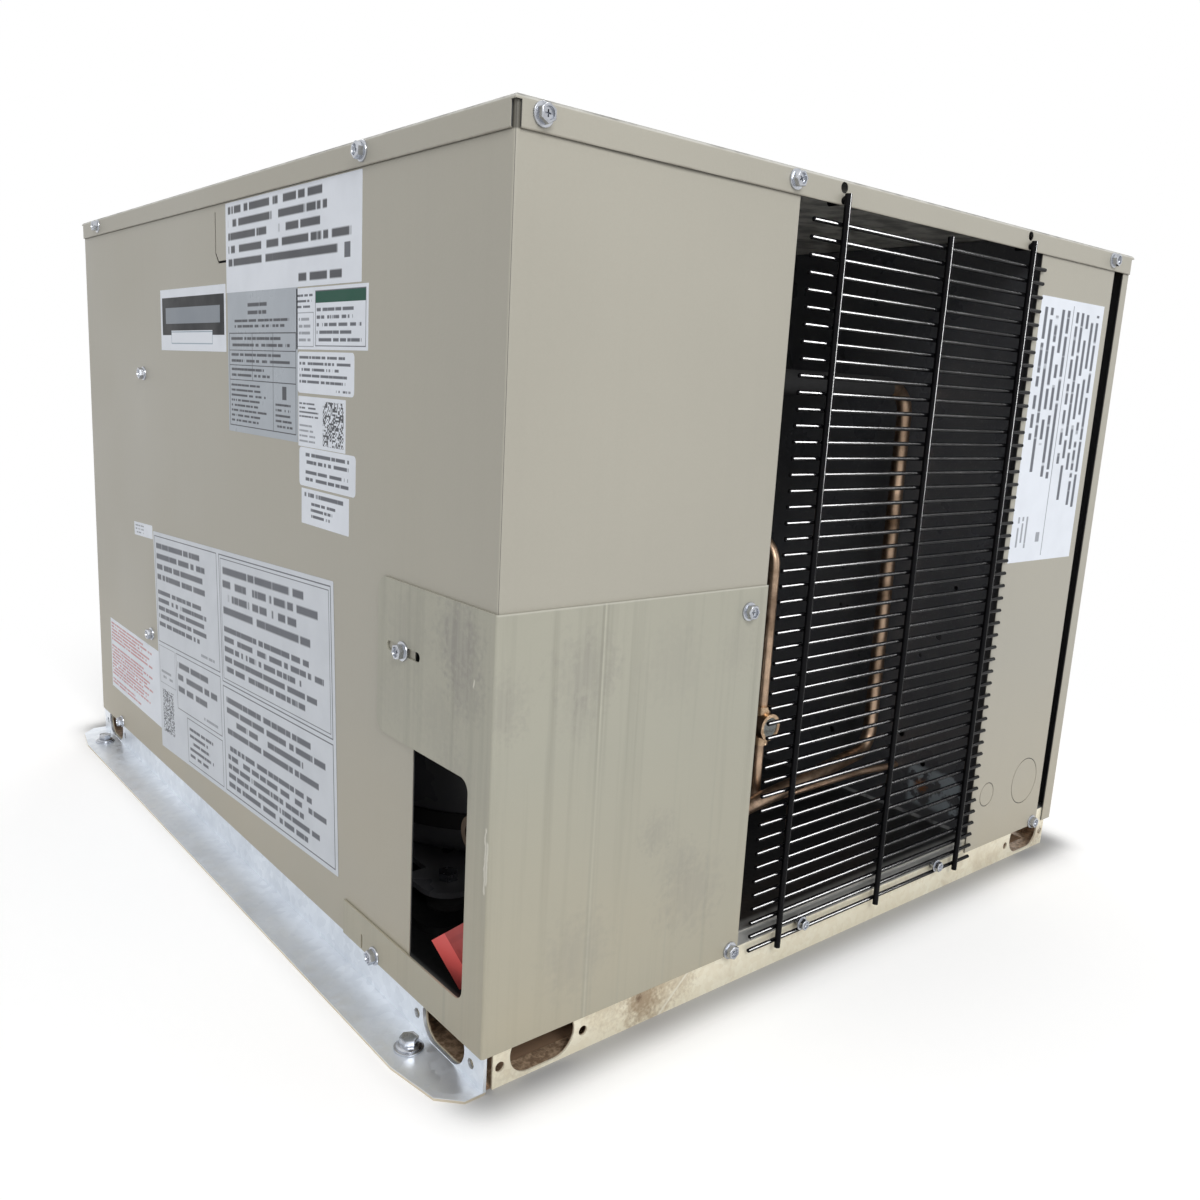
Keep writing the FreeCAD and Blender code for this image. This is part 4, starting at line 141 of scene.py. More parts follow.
paper = bpy.data.materials.new("studio_paper")
paper.use_nodes = True
tree = paper.node_tree
matt = tree.nodes["Principled BSDF"]
matt.inputs["Roughness"].default_value = 0.9
matt.inputs["Specular IOR Level"].default_value = 0.1
away = tree.nodes.new("ShaderNodeTexCoord").outputs["Object"]
for step, value in (
        ("ABSOLUTE", (0, 0, 0)), ("SUBTRACT", FOOT_HALF_SIZE), ("MAXIMUM", (0, 0, 0)), ("LENGTH", (0, 0, 0))):
    vector_step = tree.nodes.new("ShaderNodeVectorMath")
    vector_step.operation = step
    tree.links.new(away, vector_step.inputs[0])
    vector_step.inputs[1].default_value = value
    away = vector_step.outputs["Value" if step == "LENGTH" else "Vector"]
# Painted contact shadow: the paper's colour greys close round the foot.
tree.links.new(ramp(tree, away, *CONTACT_SHADOW_REACH, *CONTACT_SHADOW_TONES), matt.inputs["Base Color"])
# Painted shade: the paper under the casing is dark brown.
under_casing_shade = tree.nodes.new("ShaderNodeBsdfDiffuse")
under_casing_shade.inputs["Color"].default_value = (0.3, 0.2, 0.13, 1)
lifted = tree.nodes.new("ShaderNodeAddShader")
tree.links.new(matt.outputs[0], lifted.inputs[0])
tree.links.new(glow(tree, "Emission", PAPER_LIFT), lifted.inputs[1])
paper_or_under_shade = mixed(tree, ramp(tree, away, *UNDER_CASING_SHADE_REACH, kind="LINEAR"), under_casing_shade.outputs[0], matt.outputs[0])
# The white lift is held back close to the foot, which deepens the painted contact shadow.
near_paper = mixed(tree, ramp(tree, away, *LIFT_REACH), paper_or_under_shade, lifted.outputs[0])
far_white = mixed(tree, ramp(tree, away, *FADE), near_paper, glow(tree, "Emission", 1))
shown = mixed(tree, seen_rays(tree), matt.outputs[0], far_white)
tree.links.new(shown, tree.nodes["Material Output"].inputs["Surface"])
floor.data.materials.append(paper)
print("paper fades to white between", FADE, "m from the casing")

# %% Room
ROOM_LIGHT = 0.55

world = bpy.data.worlds.new("room")
world.use_nodes = True
bpy.context.scene.world = world
room = world.node_tree
dim = room.nodes["Background"]
dim.inputs["Color"].default_value = (1, 1, 1, 1)
dim.inputs["Strength"].default_value = ROOM_LIGHT
choice = mixed(room, seen_rays(room), dim.outputs[0], glow(room, "Background", 1))
room.links.new(choice, room.nodes["World Output"].inputs["Surface"])
bpy.context.scene.view_settings.view_transform = "Standard"
print("room light", ROOM_LIGHT)

# %% [markdown]
# ### Lamps
# The key lamp stands in front, high and to the left: it lights the guard's face most and grazes the
# side. A weak lamp behind keeps the far side readable.
# The long panel at the right is for the wire guard alone: round wires turn it into the short white
# streaks that make gloss black look wet. A level wire mirrors one cone of directions about its own
# axis, so the panel stands square to the wires with its long side along that cone.

# %% Lamps
STREAK_X, STREAK_REACH, STREAK_RISE = 1.5, 1.53, math.radians(22)
STREAK_SIZE = (1.4, 0.7)
GUARD_MIDDLE = (-0.39, 0.27)


def lamp(name, place, size, watts, aim=(0, 0, 0.27)):
    """An area lamp that faces a point."""
    bpy.ops.object.light_add(type="AREA", location=place)
    made = bpy.context.object
    made.name = name
    look = Vector(aim) - Vector(place)
    made.rotation_euler = look.to_track_quat("-Z", "Y").to_euler()
    made.data.size = size
    made.data.energy = watts
    return made


lamp("key_lamp", (-0.9, -2.9, 2.35), 1.3, 52)
lamp("rear_lamp", (1.6, 2.6, 2.2), 1.2, 16)
streak_place = (
    STREAK_X, GUARD_MIDDLE[0] - STREAK_REACH * math.cos(STREAK_RISE),
    GUARD_MIDDLE[1] + STREAK_REACH * math.sin(STREAK_RISE))
strip = lamp("streak_panel", streak_place, STREAK_SIZE[0], 420)
strip.data.shape = "RECTANGLE"
strip.data.size_y = STREAK_SIZE[1]
along = Vector((0, math.sin(STREAK_RISE), math.cos(STREAK_RISE)))
outward = Vector((0, -math.cos(STREAK_RISE), math.sin(STREAK_RISE)))
strip.rotation_euler = Matrix((along, outward, Vector((1, 0, 0)))).transposed().to_euler()
strip.visible_diffuse = False
print("lamps placed")

# %% [markdown]
# ## Finishes
# A finish is more than a colour: it has grain at the right scale, small changes of gloss and a few
# marks. Two small classes keep each recipe short. A Value is a number that the shader works out at
# each point, and arithmetic on it adds Math nodes. A Finish is a material under construction. Every
# pattern uses Object coordinates, which are true metres, as each piece's object sits at the origin.

# %% Numbers that the shader works out
class Value:
    """A number on a surface: + - * / and abs() each add a Math node."""

    def __init__(self, finish, socket):
        self.finish = finish
        self.socket = socket

    def step(self, operation, other=0.0):
        """One arithmetic step."""
        return self.finish.value("Math", {0: self, 1: other}, operation=operation)

    def __add__(self, other):
        return self.step("ADD", other)

    def __sub__(self, other):
        return self.step("SUBTRACT", other)

    def __rsub__(self, other):
        return self.finish.value("Math", {0: other, 1: self}, operation="SUBTRACT")

    def __mul__(self, other):
        return self.step("MULTIPLY", other)

    def __truediv__(self, other):
        return self.step("DIVIDE", other)

    def __abs__(self):
        return self.step("ABSOLUTE")

    def between(self, low, high, start=0.0, end=1.0):
        """Maps a range of values onto another and holds it at its ends."""
        return self.finish.value("MapRange", {
            "Value": self, "From Min": low, "From Max": high, "To Min": start, "To Max": end})

    def below(self, low, high):
        """1 below a range of values, 0 above it."""
        return self.between(low, high, 1.0, 0.0)

    def band(self, centre, half_width, soft):
        """1 near a value, 0 away from it, with a soft edge."""
        return abs(self - centre).below(half_width, half_width + soft)


print("shader arithmetic ready")


# %% A material under construction
FINISHES = {}


class Finish:
    """A material, with methods that add nodes to it and lead them into its main shader."""

    def __init__(self, name, colour, metallic, roughness):
        FINISHES[name] = self
        self.block = bpy.data.materials.new(name)
        self.block.use_nodes = True
        self.surface = self.block.node_tree.nodes["Principled BSDF"]
        self.constant("Base Color", (*colour, 1))
        self.constant("Metallic", metallic)
        self.constant("Roughness", roughness)
        self.at = self.place()
        self.x, self.y, self.z = self.axes(self.at)

    def constant(self, name, value):
        """Sets a value on the shader itself."""
        self.surface.inputs[name].default_value = value

    def node(self, kind, inputs=None, **settings):
        """Adds a node, sets its properties, and sets or links its inputs."""
        made = self.block.node_tree.nodes.new("ShaderNode" + kind)
        for name, value in settings.items():
            setattr(made, name, value)
        for name, value in (inputs or {}).items():
            value = getattr(value, "socket", value)
            if isinstance(value, bpy.types.NodeSocket):
                self.block.node_tree.links.new(value, made.inputs[name])
            else:
                made.inputs[name].default_value = value
        return made

    def value(self, kind, inputs=None, output=0, **settings):
        """Adds a node and gives one of its outputs as a Value."""
        return Value(self, self.node(kind, inputs, **settings).outputs[output])

    def place(self, stretch=(1, 1, 1)):
        """Object coordinates, stretched along the axes."""
        coordinates = self.node("TexCoord").outputs["Object"]
        return self.node("Mapping", {"Vector": coordinates, "Scale": stretch}).outputs[0]

    def axes(self, vector):
        """The X, Y and Z of a vector."""
        return [Value(self, axis) for axis in self.node("SeparateXYZ", {"Vector": vector}).outputs.values()]

    def grain(self, scale, detail=3.0, roughness=0.55, distortion=0.0, vector=None):
        """Noise between 0 and 1."""
        return self.value("TexNoise", {
            "Vector": vector or self.at, "Scale": scale, "Detail": detail, "Roughness": roughness,
            "Distortion": distortion})

    def blend(self, amount, one, two):
        """Mixes two colours."""
        one, two = (
            colour if isinstance(colour, bpy.types.NodeSocket) else (*colour, 1) for colour in (one, two))
        return self.node("Mix", {0: amount, 6: one, 7: two}, data_type="RGBA", clamp_factor=True).outputs[2]

    def wire(self, value, target):
        """Leads a value into the main shader."""
        self.block.node_tree.links.new(getattr(value, "socket", value), self.surface.inputs[target])

    def paint(self, colour):
        """Leads a colour into the main shader."""
        self.wire(colour, "Base Color")

    def roughen(self, grain, low, high):
        """Lets the roughness follow a grain."""
        self.wire(grain.between(0.3, 0.7, low, high), "Roughness")

    def lay_over(self, colour, *amounts):
        """Mixes one more colour over the shader's, by the product of the amounts."""
        below = self.surface.inputs["Base Color"].links[0].from_socket
        self.paint(self.blend(product(*amounts), below, colour))

    def relief(self, height, distance, strength=1.0):
        """Turns a height in metres into bumps on the surface."""
        bumps = self.node("Bump", {"Height": height, "Distance": distance, "Strength": strength})
        self.wire(bumps.outputs["Normal"], "Normal")

    def spot(self, one, two, centre, radius, soft, ragged):
        """1 inside a round place on a face, 0 outside, with a ragged edge."""
        across, along = one - centre[0], two - centre[1]
        away = (across * across + along * along).step("SQRT")
        rough = self.grain(2.0 / radius, 3.0).between(0.3, 0.7, -ragged, ragged)
        return (away + rough).below(radius, radius + soft)


def product(first, *others):
    """The product of several values."""
    for other in others:
        first = first * other
    return first


print("finish helpers ready")

# %% [markdown]
# ### Painted steel
# The panels are warm grey, with a fine orange-peel skin, a satin gloss, and warm dust and painted
# warm floor light near the foot.
# Soft noises keep the large faces from looking printed. The lid has a painted highlight along its top
# edge and a painted shadow line at the foot of its flange, and the panels carry a painted shadow under
# the lid's flange, wider where the flange bows away from them.

# %% Painted steel
def painted_steel(name, colour, streaks):
    """Satin paint with orange peel, faint upright streaks, and warm dust and painted floor light low down."""
    made = Finish(name, colour, 0.0, 0.42)
    clouds = made.grain(5.5, 2.0)
    speckle = made.grain(900.0, 1.0)
    rolled = made.grain(1.0, 4.0, 0.65, vector=made.place((90, 90, 2.2)))
    shade = made.blend(clouds.between(0.35, 0.65), tinted(colour, 0.95), colour)
    shade = made.blend(speckle.between(0.3, 0.7, 0.0, 0.1), shade, tinted(colour, 0.8))
    shade = made.blend(rolled.between(0.5, 0.72, 0.0, streaks), shade, tinted(colour, 0.62))
    # Lighter and warmer towards the foot: dust, and painted warm light reflected from the floor.
    low = made.z.between(0.02, 0.2, 0.55, 0.0)
    drift = made.grain(9.0, 2.0).between(0.3, 0.7, 0.5, 1.0)
    made.paint(made.blend(low * drift, shade, WARM_DUST_AND_FLOOR_LIGHT))
    made.roughen(clouds, 0.36, 0.5)
    made.relief(made.grain(420.0, 2.0) + made.grain(14.0, 1.0) * 3.0, 0.0002, 0.35)
    return made


def tinted(colour, tone):
    """A colour made darker or lighter."""
    return [min(1, part * tone) for part in colour]


def shaded_inside(made, half_width, half_depth, ceiling):
    """Painted shade: a dark colour on the faces that look into the casing."""
    across = abs(made.x).below(half_width - 0.0001, half_width)
    along = abs(made.y).below(half_depth - 0.0001, half_depth)
    below = made.z.below(ceiling - 0.0001, ceiling)
    made.lay_over(INSIDE_SHADE, across, along, below)


TAUPE = (0.435, 0.415, 0.352)
WARM_DUST_AND_FLOOR_LIGHT = (0.5, 0.43, 0.3)
INSIDE_SHADE = (0.055, 0.055, 0.057)
LID_RIM, FLANGE_FOOT = 0.546, 0.53
BOW_MIDDLE, BOW_HALF = -0.22, 0.085

taupe_paint = painted_steel("taupe_paint", TAUPE, 0.03)
# Painted shade on the inner faces of the panels.
shaded_inside(taupe_paint, 0.3266, 0.3881, 0.5446)
lid_paint = painted_steel("lid_paint", TAUPE, 0.03)
# Painted shade on the inner faces of the lid.
shaded_inside(lid_paint, 0.3281, 0.3896, 0.5456)
patchy = lid_paint.grain(60.0, 2.0).between(0.35, 0.6, 0.35, 0.9)
# Painted highlight along the lid's top edge.
lid_paint.lay_over((0.62, 0.61, 0.56), lid_paint.z.band(LID_RIM - 0.0013, 0.0005, 0.0006), patchy)
# Painted shadow along the foot of the lid's flange.
lid_paint.lay_over((0.24, 0.22, 0.18), lid_paint.z.band(FLANGE_FOOT, 0.0003, 0.0006), patchy)
# Painted shadow on the panels under the lid's flange, wider in the middle where the flange bows away.
bow = abs(taupe_paint.x - BOW_MIDDLE).between(0.0, BOW_HALF, 0.0026, 0.0009)
flange_painted_shadow = (FLANGE_FOOT + 0.0002 - taupe_paint.z).below(0.0, bow)
taupe_paint.lay_over((0.05, 0.045, 0.035), flange_painted_shadow, 0.8)
print("panels painted", TAUPE)

# %% [markdown]
# ### The service cover's paint
# The corner cover is greener and handled: it has upright roll marks, rubbed patches and a few pale
# scratches. They lie over the same paint recipe, broken up by stretched noise, which never repeats.

# %% Handled paint
COVER_GREY = (0.415, 0.406, 0.334)
cover = painted_steel("cover_paint", COVER_GREY, 0.42)
on_front = cover.y.below(-0.3895, -0.3885)
on_side = 1.0 - on_front
broken = cover.grain(1.0, 2.0, vector=cover.place((20, 20, 5))).between(0.36, 0.6, 0.25, 1.0)
ROLL_MARKS = (  # place across the front, half width, tone, strength
    (-0.2546, 0.0007, 0.7, 0.65), (-0.2529, 0.0005, 1.25, 0.6), (-0.2517, 0.0005, 0.74, 0.45),
    (-0.2488, 0.0004, 0.85, 0.3), (-0.26, 0.0005, 0.86, 0.3), (-0.226, 0.0004, 0.88, 0.3),
    (-0.187, 0.0004, 0.88, 0.28), (-0.152, 0.0005, 0.88, 0.28),
)
SIDE_MARKS = ((-0.348, 0.001, 0.76, 0.55), (-0.352, 0.0006, 1.12, 0.35), (-0.368, 0.0006, 0.86, 0.3))
for face, axis, soft, marks in (
        (on_front, cover.x, 0.0008, ROLL_MARKS), (on_side, cover.y, 0.001, SIDE_MARKS)):
    for centre, half, tone, strength in marks:
        cover.lay_over(tinted(COVER_GREY, tone), axis.band(centre, half, soft), face, broken, strength)
print("cover painted, with", len(ROLL_MARKS) + len(SIDE_MARKS), "roll marks")

# %% Smudges and scratches on the cover
FRONT_SMUDGES = (  # place across and up, radius, strength
    (-0.324, 0.235, 0.016, 0.3), (-0.266, 0.25, 0.02, 0.34), (-0.27, 0.222, 0.012, 0.22),
    (-0.195, 0.244, 0.022, 0.16), (-0.139, 0.248, 0.014, 0.16), (-0.2, 0.134, 0.012, 0.3),
    (-0.167, 0.084, 0.024, 0.3), (-0.262, 0.07, 0.022, 0.22), (-0.18, 0.11, 0.014, 0.2),
)
SIDE_SMUDGES = (
    (-0.352, 0.266, 0.02, 0.62), (-0.362, 0.24, 0.016, 0.46), (-0.335, 0.215, 0.018, 0.22),
    (-0.296, 0.262, 0.022, 0.22), (-0.352, 0.185, 0.016, 0.26), (-0.284, 0.215, 0.018, 0.2),
)
SMUDGE_GREY = (0.225, 0.21, 0.2)
fibres = cover.grain(1.0, 3.0, vector=cover.place((260, 260, 18))).between(0.3, 0.7, 0.35, 1.0)
for face, across, smudges in ((on_front, cover.x, FRONT_SMUDGES), (on_side, cover.y, SIDE_SMUDGES)):
    for *centre, radius, strength in smudges:
        mark = cover.spot(across, cover.z, centre, radius * 0.45, radius, radius * 0.6)
        cover.lay_over(SMUDGE_GREY, mark, face, fibres, strength)
SCRATCHES = (  # place across the side, low and high end
    (-0.3862, 0.128, 0.166), (-0.388, 0.134, 0.158), (-0.244, 0.236, 0.262), (-0.37, 0.244, 0.247))
wavering = cover.y + cover.grain(130.0, 2.0).between(0.3, 0.7, -0.0008, 0.0008)
for centre, low, high in SCRATCHES:
    reach = cover.z.band((low + high) / 2, (high - low) / 2, 0.0015)
    cover.lay_over((0.7, 0.68, 0.6), on_side, wavering.band(centre, 0.0005, 0.0004), reach, 0.8)
# Painted highlight along the top edge of the cover's front.
cover.lay_over((0.6, 0.59, 0.52), cover.z.band(0.2878, 0.0004, 0.0006), on_front, 0.55)
print("smudges:", len(FRONT_SMUDGES) + len(SIDE_SMUDGES), "and scratches:", len(SCRATCHES))

# %% [markdown]
# ### Galvanised steel
# Zinc freezes in flat crystals called spangle, and a Voronoi texture gives each crystal its own
# tone and gloss. One recipe takes the tints of the warm, stained pan and the colder rail. The pan
# is dark on its floor inside the casing, dull behind the guard's foot and mottled brown underneath,
# which is what the handholes show.

# %% Galvanised steel
def zinc_coat(name, light, dark, stain, stained, crystal, metallic=0.72, spangle=0.55):
    """Spangled zinc with clouds, stains and a fine grain."""
    made = Finish(name, light, metallic, 0.42)
    cells = made.node("TexVoronoi", {"Vector": made.at, "Scale": crystal, "Randomness": 1.0})
    tone = made.value("SeparateColor", {"Color": cells.outputs["Color"]}, "Red")
    shade = made.blend(tone.between(0.0, 1.0, 0.0, spangle), light, dark)
    shade = made.blend(made.grain(11.0, 4.0).between(0.42, 0.66, 0.0, 0.45), shade, dark)
    marks = made.grain(16.0, 4.0, 0.62, 0.6).between(0.6, 0.72, 0.0, stained)
    made.paint(made.blend(marks, shade, stain))
    made.wire(tone.between(0.0, 1.0, 0.3, 0.48), "Roughness")
    made.relief(made.grain(260.0, 2.0, vector=made.place((1, 1, 6))), 0.00015, 0.3)
    return made


pan = zinc_coat("pan_zinc", (0.98, 0.93, 0.76), (0.82, 0.74, 0.56), (0.48, 0.36, 0.23), 0.34, 260.0, 0.22)
rail_zinc = zinc_coat(
    "rail_zinc", (0.88, 0.92, 0.97), (0.56, 0.6, 0.66), (0.96, 0.98, 1.0), 0.45, 170.0, spangle=0.28)
CUT_EDGE = (0.0014, 0.0019)
rail_zinc.lay_over((0.6, 0.5, 0.33), rail_zinc.z.below(*CUT_EDGE), 0.75)
zinc_coat("plate_zinc", (0.62, 0.66, 0.7), (0.42, 0.46, 0.5), (0.3, 0.26, 0.2), 0.2, 220.0)
print("zinc for the pan, the rail and the inner brackets")

# %% The pan's inside and its stains
PAN_FACE = (0.3225, 0.3861)
inside = (abs(pan.x) / PAN_FACE[0]).step("MAXIMUM", abs(pan.y) / PAN_FACE[1])
under_colour = pan.blend(pan.grain(320.0, 3.0).between(0.4, 0.62), (0.24, 0.145, 0.085), (0.58, 0.41, 0.27))
within, below_top = inside.below(0.999, 1.0), pan.z.below(0.0366, 0.0368)
pan.lay_over(under_colour, within, below_top, 0.94)
top = pan.z.between(0.0372, 0.0376)
pan.lay_over((0.15, 0.155, 0.16), top, 0.95)
pan.lay_over((0.018, 0.018, 0.019), inside.below(0.972, 0.982), top, 0.985)
STAINS = (  # place across and up, radius, strength, colour
    (-0.195, 0.015, 0.02, 0.6, (0.42, 0.31, 0.19)), (-0.2, 0.017, 0.012, 0.7, (0.34, 0.24, 0.15)),
    (-0.204, 0.019, 0.0024, 0.9, (0.18, 0.11, 0.06)), (-0.232, 0.026, 0.016, 0.4, (0.5, 0.41, 0.28)),
    (-0.165, 0.02, 0.012, 0.45, (0.45, 0.35, 0.23)), (-0.305, 0.012, 0.014, 0.3, (0.52, 0.43, 0.3)),
    (0.305, 0.012, 0.012, 0.45, (0.42, 0.29, 0.18)),
)
on_pan_front = pan.y.below(-0.3868, -0.386)
for *centre, radius, strength, colour in STAINS:
    mark = pan.spot(pan.x, pan.z, centre, radius * 0.4, radius, radius * 0.6)
    pan.lay_over(colour, mark, on_pan_front, strength)
behind_guard = pan.z.between(0.0262, 0.0272) * pan.x.band(0.03, 0.14, 0.01)
pan.lay_over((0.16, 0.165, 0.17), on_pan_front, behind_guard, 0.92)
slanted = pan.x + 0.185 - pan.z * 1.1
pan.lay_over((0.92, 0.88, 0.76), slanted.band(0.0, 0.0006, 0.0012), on_pan_front, 0.7)
print("pan stained in", len(STAINS), "places")

# %% [markdown]
# ### Black pieces
# The guard is dipped in gloss black, the inner walls are black sheet under a veil of dust, and the
# compressor and receiver carry thicker paint. One recipe takes the colour, the gloss, the dust and
# the size and depth of the peel.

# %% Black finishes
def black_coat(name, colour, rough_low, rough_high, dust, peel_size, peel):
    """Black paint with uneven gloss and a veil of grey dust."""
    made = Finish(name, colour, 0.0, rough_low)
    veil = made.grain(18.0, 4.0)
    shade = made.blend(veil.between(0.4, 0.75, 0.0, dust), colour, (0.16, 0.15, 0.14))
    specks = made.grain(700.0, 1.0).between(0.6, 0.8, 0.0, dust)
    made.paint(made.blend(specks, shade, (0.3, 0.29, 0.27)))
    made.roughen(veil, rough_low, rough_high)
    made.relief(made.grain(peel_size, 2.0), 0.0002, peel)
    return made


guard_black = black_coat("guard_black", (0.004, 0.004, 0.005), 0.11, 0.19, 0.02, 500.0, 0.1)
guard_black.constant("Specular IOR Level", 0.08)
black_coat("wall_black", (0.024, 0.026, 0.032), 0.24, 0.38, 0.16, 90.0, 0.25)
wall = black_coat("partition_black", (0.08, 0.083, 0.092), 0.24, 0.38, 0.25, 90.0, 0.25)
black_coat("shell_black", (0.13, 0.13, 0.142), 0.24, 0.36, 0.2, 240.0, 0.35)
black_coat("motor_grey", (0.1, 0.105, 0.11), 0.3, 0.42, 0.25, 300.0, 0.3)
print("black and dark grey coats made")

# %% Bare patch on the inner wall
torn = wall.grain(95.0, 3.0).between(0.44, 0.5)
wall.lay_over((0.3, 0.34, 0.37), wall.y.band(-0.348, 0.024, 0.004), wall.z.band(0.069, 0.016, 0.004), torn)
rust = wall.spot(wall.y, wall.z, (-0.335, 0.069), 0.0035, 0.0035, 0.003)
wall.lay_over((0.24, 0.1, 0.035), rust, 0.9)
foot_strip = wall.z.band(0.0395, 0.0012, 0.001) * wall.y.below(-0.24, -0.22)
wall.lay_over((0.42, 0.43, 0.43), foot_strip, wall.grain(60.0, 2.0).between(0.4, 0.5), 0.8)
print("bare patch laid over the black")

# %% [markdown]
# ### Copper, brass and bright metal
# Drawn copper is never one colour: it darkens in clouds and fine specks. Machined brass and plated
# screws are cleaner. All are fully metallic, so their colour is the colour of their shine.

# %% Bright metals
def bright_metal(name, light, dark, rough_low, rough_high, cloud_size, cloudy):
    """Bare metal whose colour and gloss drift in soft clouds."""
    made = Finish(name, light, 1.0, rough_low)
    clouds = made.grain(cloud_size, 4.0, 0.6, 0.4)
    speckle = made.grain(900.0, 2.0)
    shade = made.blend(clouds.between(0.35, 0.7, 0.0, cloudy), light, dark)
    made.paint(made.blend(speckle.between(0.55, 0.8, 0.0, 0.35), shade, dark))
    made.roughen(clouds, rough_low, rough_high)
    made.relief(speckle, 0.00008, 0.25)
    return made


bright_metal("copper", (0.86, 0.62, 0.45), (0.24, 0.14, 0.08), 0.3, 0.48, 26.0, 0.8)
bright_metal("aged_copper", (0.72, 0.52, 0.37), (0.15, 0.095, 0.06), 0.28, 0.46, 34.0, 1.0)
bright_metal("brass", (0.74, 0.54, 0.36), (0.3, 0.19, 0.11), 0.22, 0.38, 40.0, 0.8)
# The service valves' brass is nearly black: painted shade, as they stand in the dark of the line opening.
bright_metal("brass_in_painted_shade", (0.09, 0.065, 0.045), (0.045, 0.032, 0.022), 0.36, 0.52, 40.0, 0.8)
screw_zinc = bright_metal("screw_zinc", (0.56, 0.58, 0.62), (0.26, 0.27, 0.3), 0.18, 0.3, 160.0, 0.6)
bright_metal("shaft_steel", (0.62, 0.62, 0.63), (0.35, 0.34, 0.33), 0.2, 0.34, 60.0, 0.5)
bright_metal("blade_metal", (0.78, 0.79, 0.8), (0.55, 0.56, 0.57), 0.3, 0.45, 9.0, 0.6)
bright_metal("can_metal", (0.76, 0.77, 0.79), (0.58, 0.59, 0.6), 0.22, 0.34, 12.0, 0.5)
print("copper, brass, zinc, steel and aluminium made")

# %% [markdown]
# ### Fins
# The coil's fin block stands for hundreds of thin fins. Modelling each would cost many thousand
# faces, so the fins are lines of relief and shade along X at their real pitch of 1.8 mm.

# %% Fins
FIN_PITCH = 0.0018
fins = Finish("fin_metal", (0.7, 0.72, 0.73), 0.9, 0.38)
ridge = abs((fins.x / FIN_PITCH).step("FRACT") - 0.5).between(0.05, 0.45)
bent = fins.grain(1.0, 3.0, vector=fins.place((12, 12, 5))).between(0.35, 0.7, 0.0, 0.4)
shade = fins.blend(ridge, (0.05, 0.05, 0.055), (0.74, 0.76, 0.77))
fins.paint(fins.blend(bent, shade, (0.45, 0.44, 0.42)))
fins.relief(ridge, 0.0008, 0.8)
print("fins every", FIN_PITCH * 1000, "mm")

# %% [markdown]
# ### Rubber, foam and moulded plastic
# Soft and moulded parts have a dull, pebbled skin: a colour, a roughness, and the size and depth of
# the pebbles.

# %% Moulded finishes
def moulded(name, colour, roughness, pebble, depth):
    """A dull moulded skin with pebbles and slightly worn patches."""
    made = Finish(name, colour, 0.0, roughness)
    worn = made.grain(30.0, 3.0)
    lighter = [min(1.0, part * 1.5 + 0.01) for part in colour]
    made.paint(made.blend(worn.between(0.45, 0.75, 0.0, 0.5), colour, lighter))
    made.roughen(worn, roughness - 0.08, roughness + 0.08)
    made.relief(made.grain(pebble, 3.0), 0.0003, depth)
    return made


moulded("rubber", (0.022, 0.022, 0.022), 0.75, 400.0, 0.4)
moulded("foam", (0.018, 0.018, 0.019), 0.88, 260.0, 0.9)
moulded("black_plastic", (0.035, 0.035, 0.038), 0.5, 600.0, 0.3)
moulded("grey_plastic", (0.52, 0.52, 0.5), 0.48, 600.0, 0.25)
moulded("red_plastic", (0.55, 0.03, 0.025), 0.34, 300.0, 0.15)
window_glass = Finish("window_glass", (0.85, 0.93, 0.88), 0.0, 0.05)
window_glass.constant("Transmission Weight", 0.8)
window_glass.wire(window_glass.grain(300.0, 2.0).between(0.4, 0.8, 0.03, 0.14), "Roughness")
print("rubber, foam, plastics and glass made")

# %% [markdown]
# ### Each CAD piece gets its finish
# A CAD piece keeps its mesh, and only its material slots change. A table from finish to pieces is
# easy to check, and the cell stops with a clear message if a piece is left out.

# %% Dress the CAD pieces
DRESS = {
    "taupe_paint": "left_panel right_panel control_cover",
    "lid_paint": "top_cover",
    "cover_paint": "corner_cover",
    "pan_zinc": "base_pan",
    "rail_zinc": "mounting_rail",
    "plate_zinc": "motor_stand motor_strap coil_plate_left coil_plate_right valve_bracket capacitor_strap",
    "screw_zinc": "rail_bolts top_cover_screws side_panel_screws foot_screws corner_cover_screws"
                  " guard_screws strap_screws compressor_bolts",
    "guard_black": "wire_guard",
    "wall_black": "fan_bulkhead fan_ring",
    "partition_black": "control_partition",
    "shell_black": "compressor_shell compressor_feet receiver receiver_stand",
    "motor_grey": "fan_motor",
    "copper": "coil_bends discharge_line condensate_line pressure_tube receiver_line",
    "aged_copper": "filter_drier liquid_line liquid_tail suction_line",
    "brass": "receiver_valve sight_glass",
    "brass_in_painted_shade": "suction_valve liquid_valve",
    "blade_metal": "fan_blades",
    "fin_metal": "coil_fins",
    "shaft_steel": "motor_shaft suction_valve_stem liquid_valve_stem",
    "rubber": "compressor_grommets crankcase_heater",
    "foam": "suction_foam",
    "black_plastic": "pressure_control terminal_cover contactor_base terminal_block",
    "grey_plastic": "contactor_armature",
    "can_metal": "run_capacitor",
    "red_plastic": "reset_button",
    "window_glass": "sight_glass_window",
}
for finish, names in DRESS.items():
    for name in names.split():
        nodes[name].data.materials.clear()
        nodes[name].data.materials.append(FINISHES[finish].block)
left_out = sorted(set(nodes) - set(" ".join(DRESS.values()).split()))
if left_out:
    raise ValueError(f"these pieces have no finish: {left_out}")
print(len(nodes), "pieces dressed in", len(DRESS), "finishes")

# %% [markdown]
# ## Modelled pieces
# The pieces below are shaped with the operators that the menus call. A few helpers keep the cells
# short: they select a piece alone, open it with some faces picked by their direction, and write
# the finished piece's place into its mesh, so that its object sits at the origin like a CAD piece.

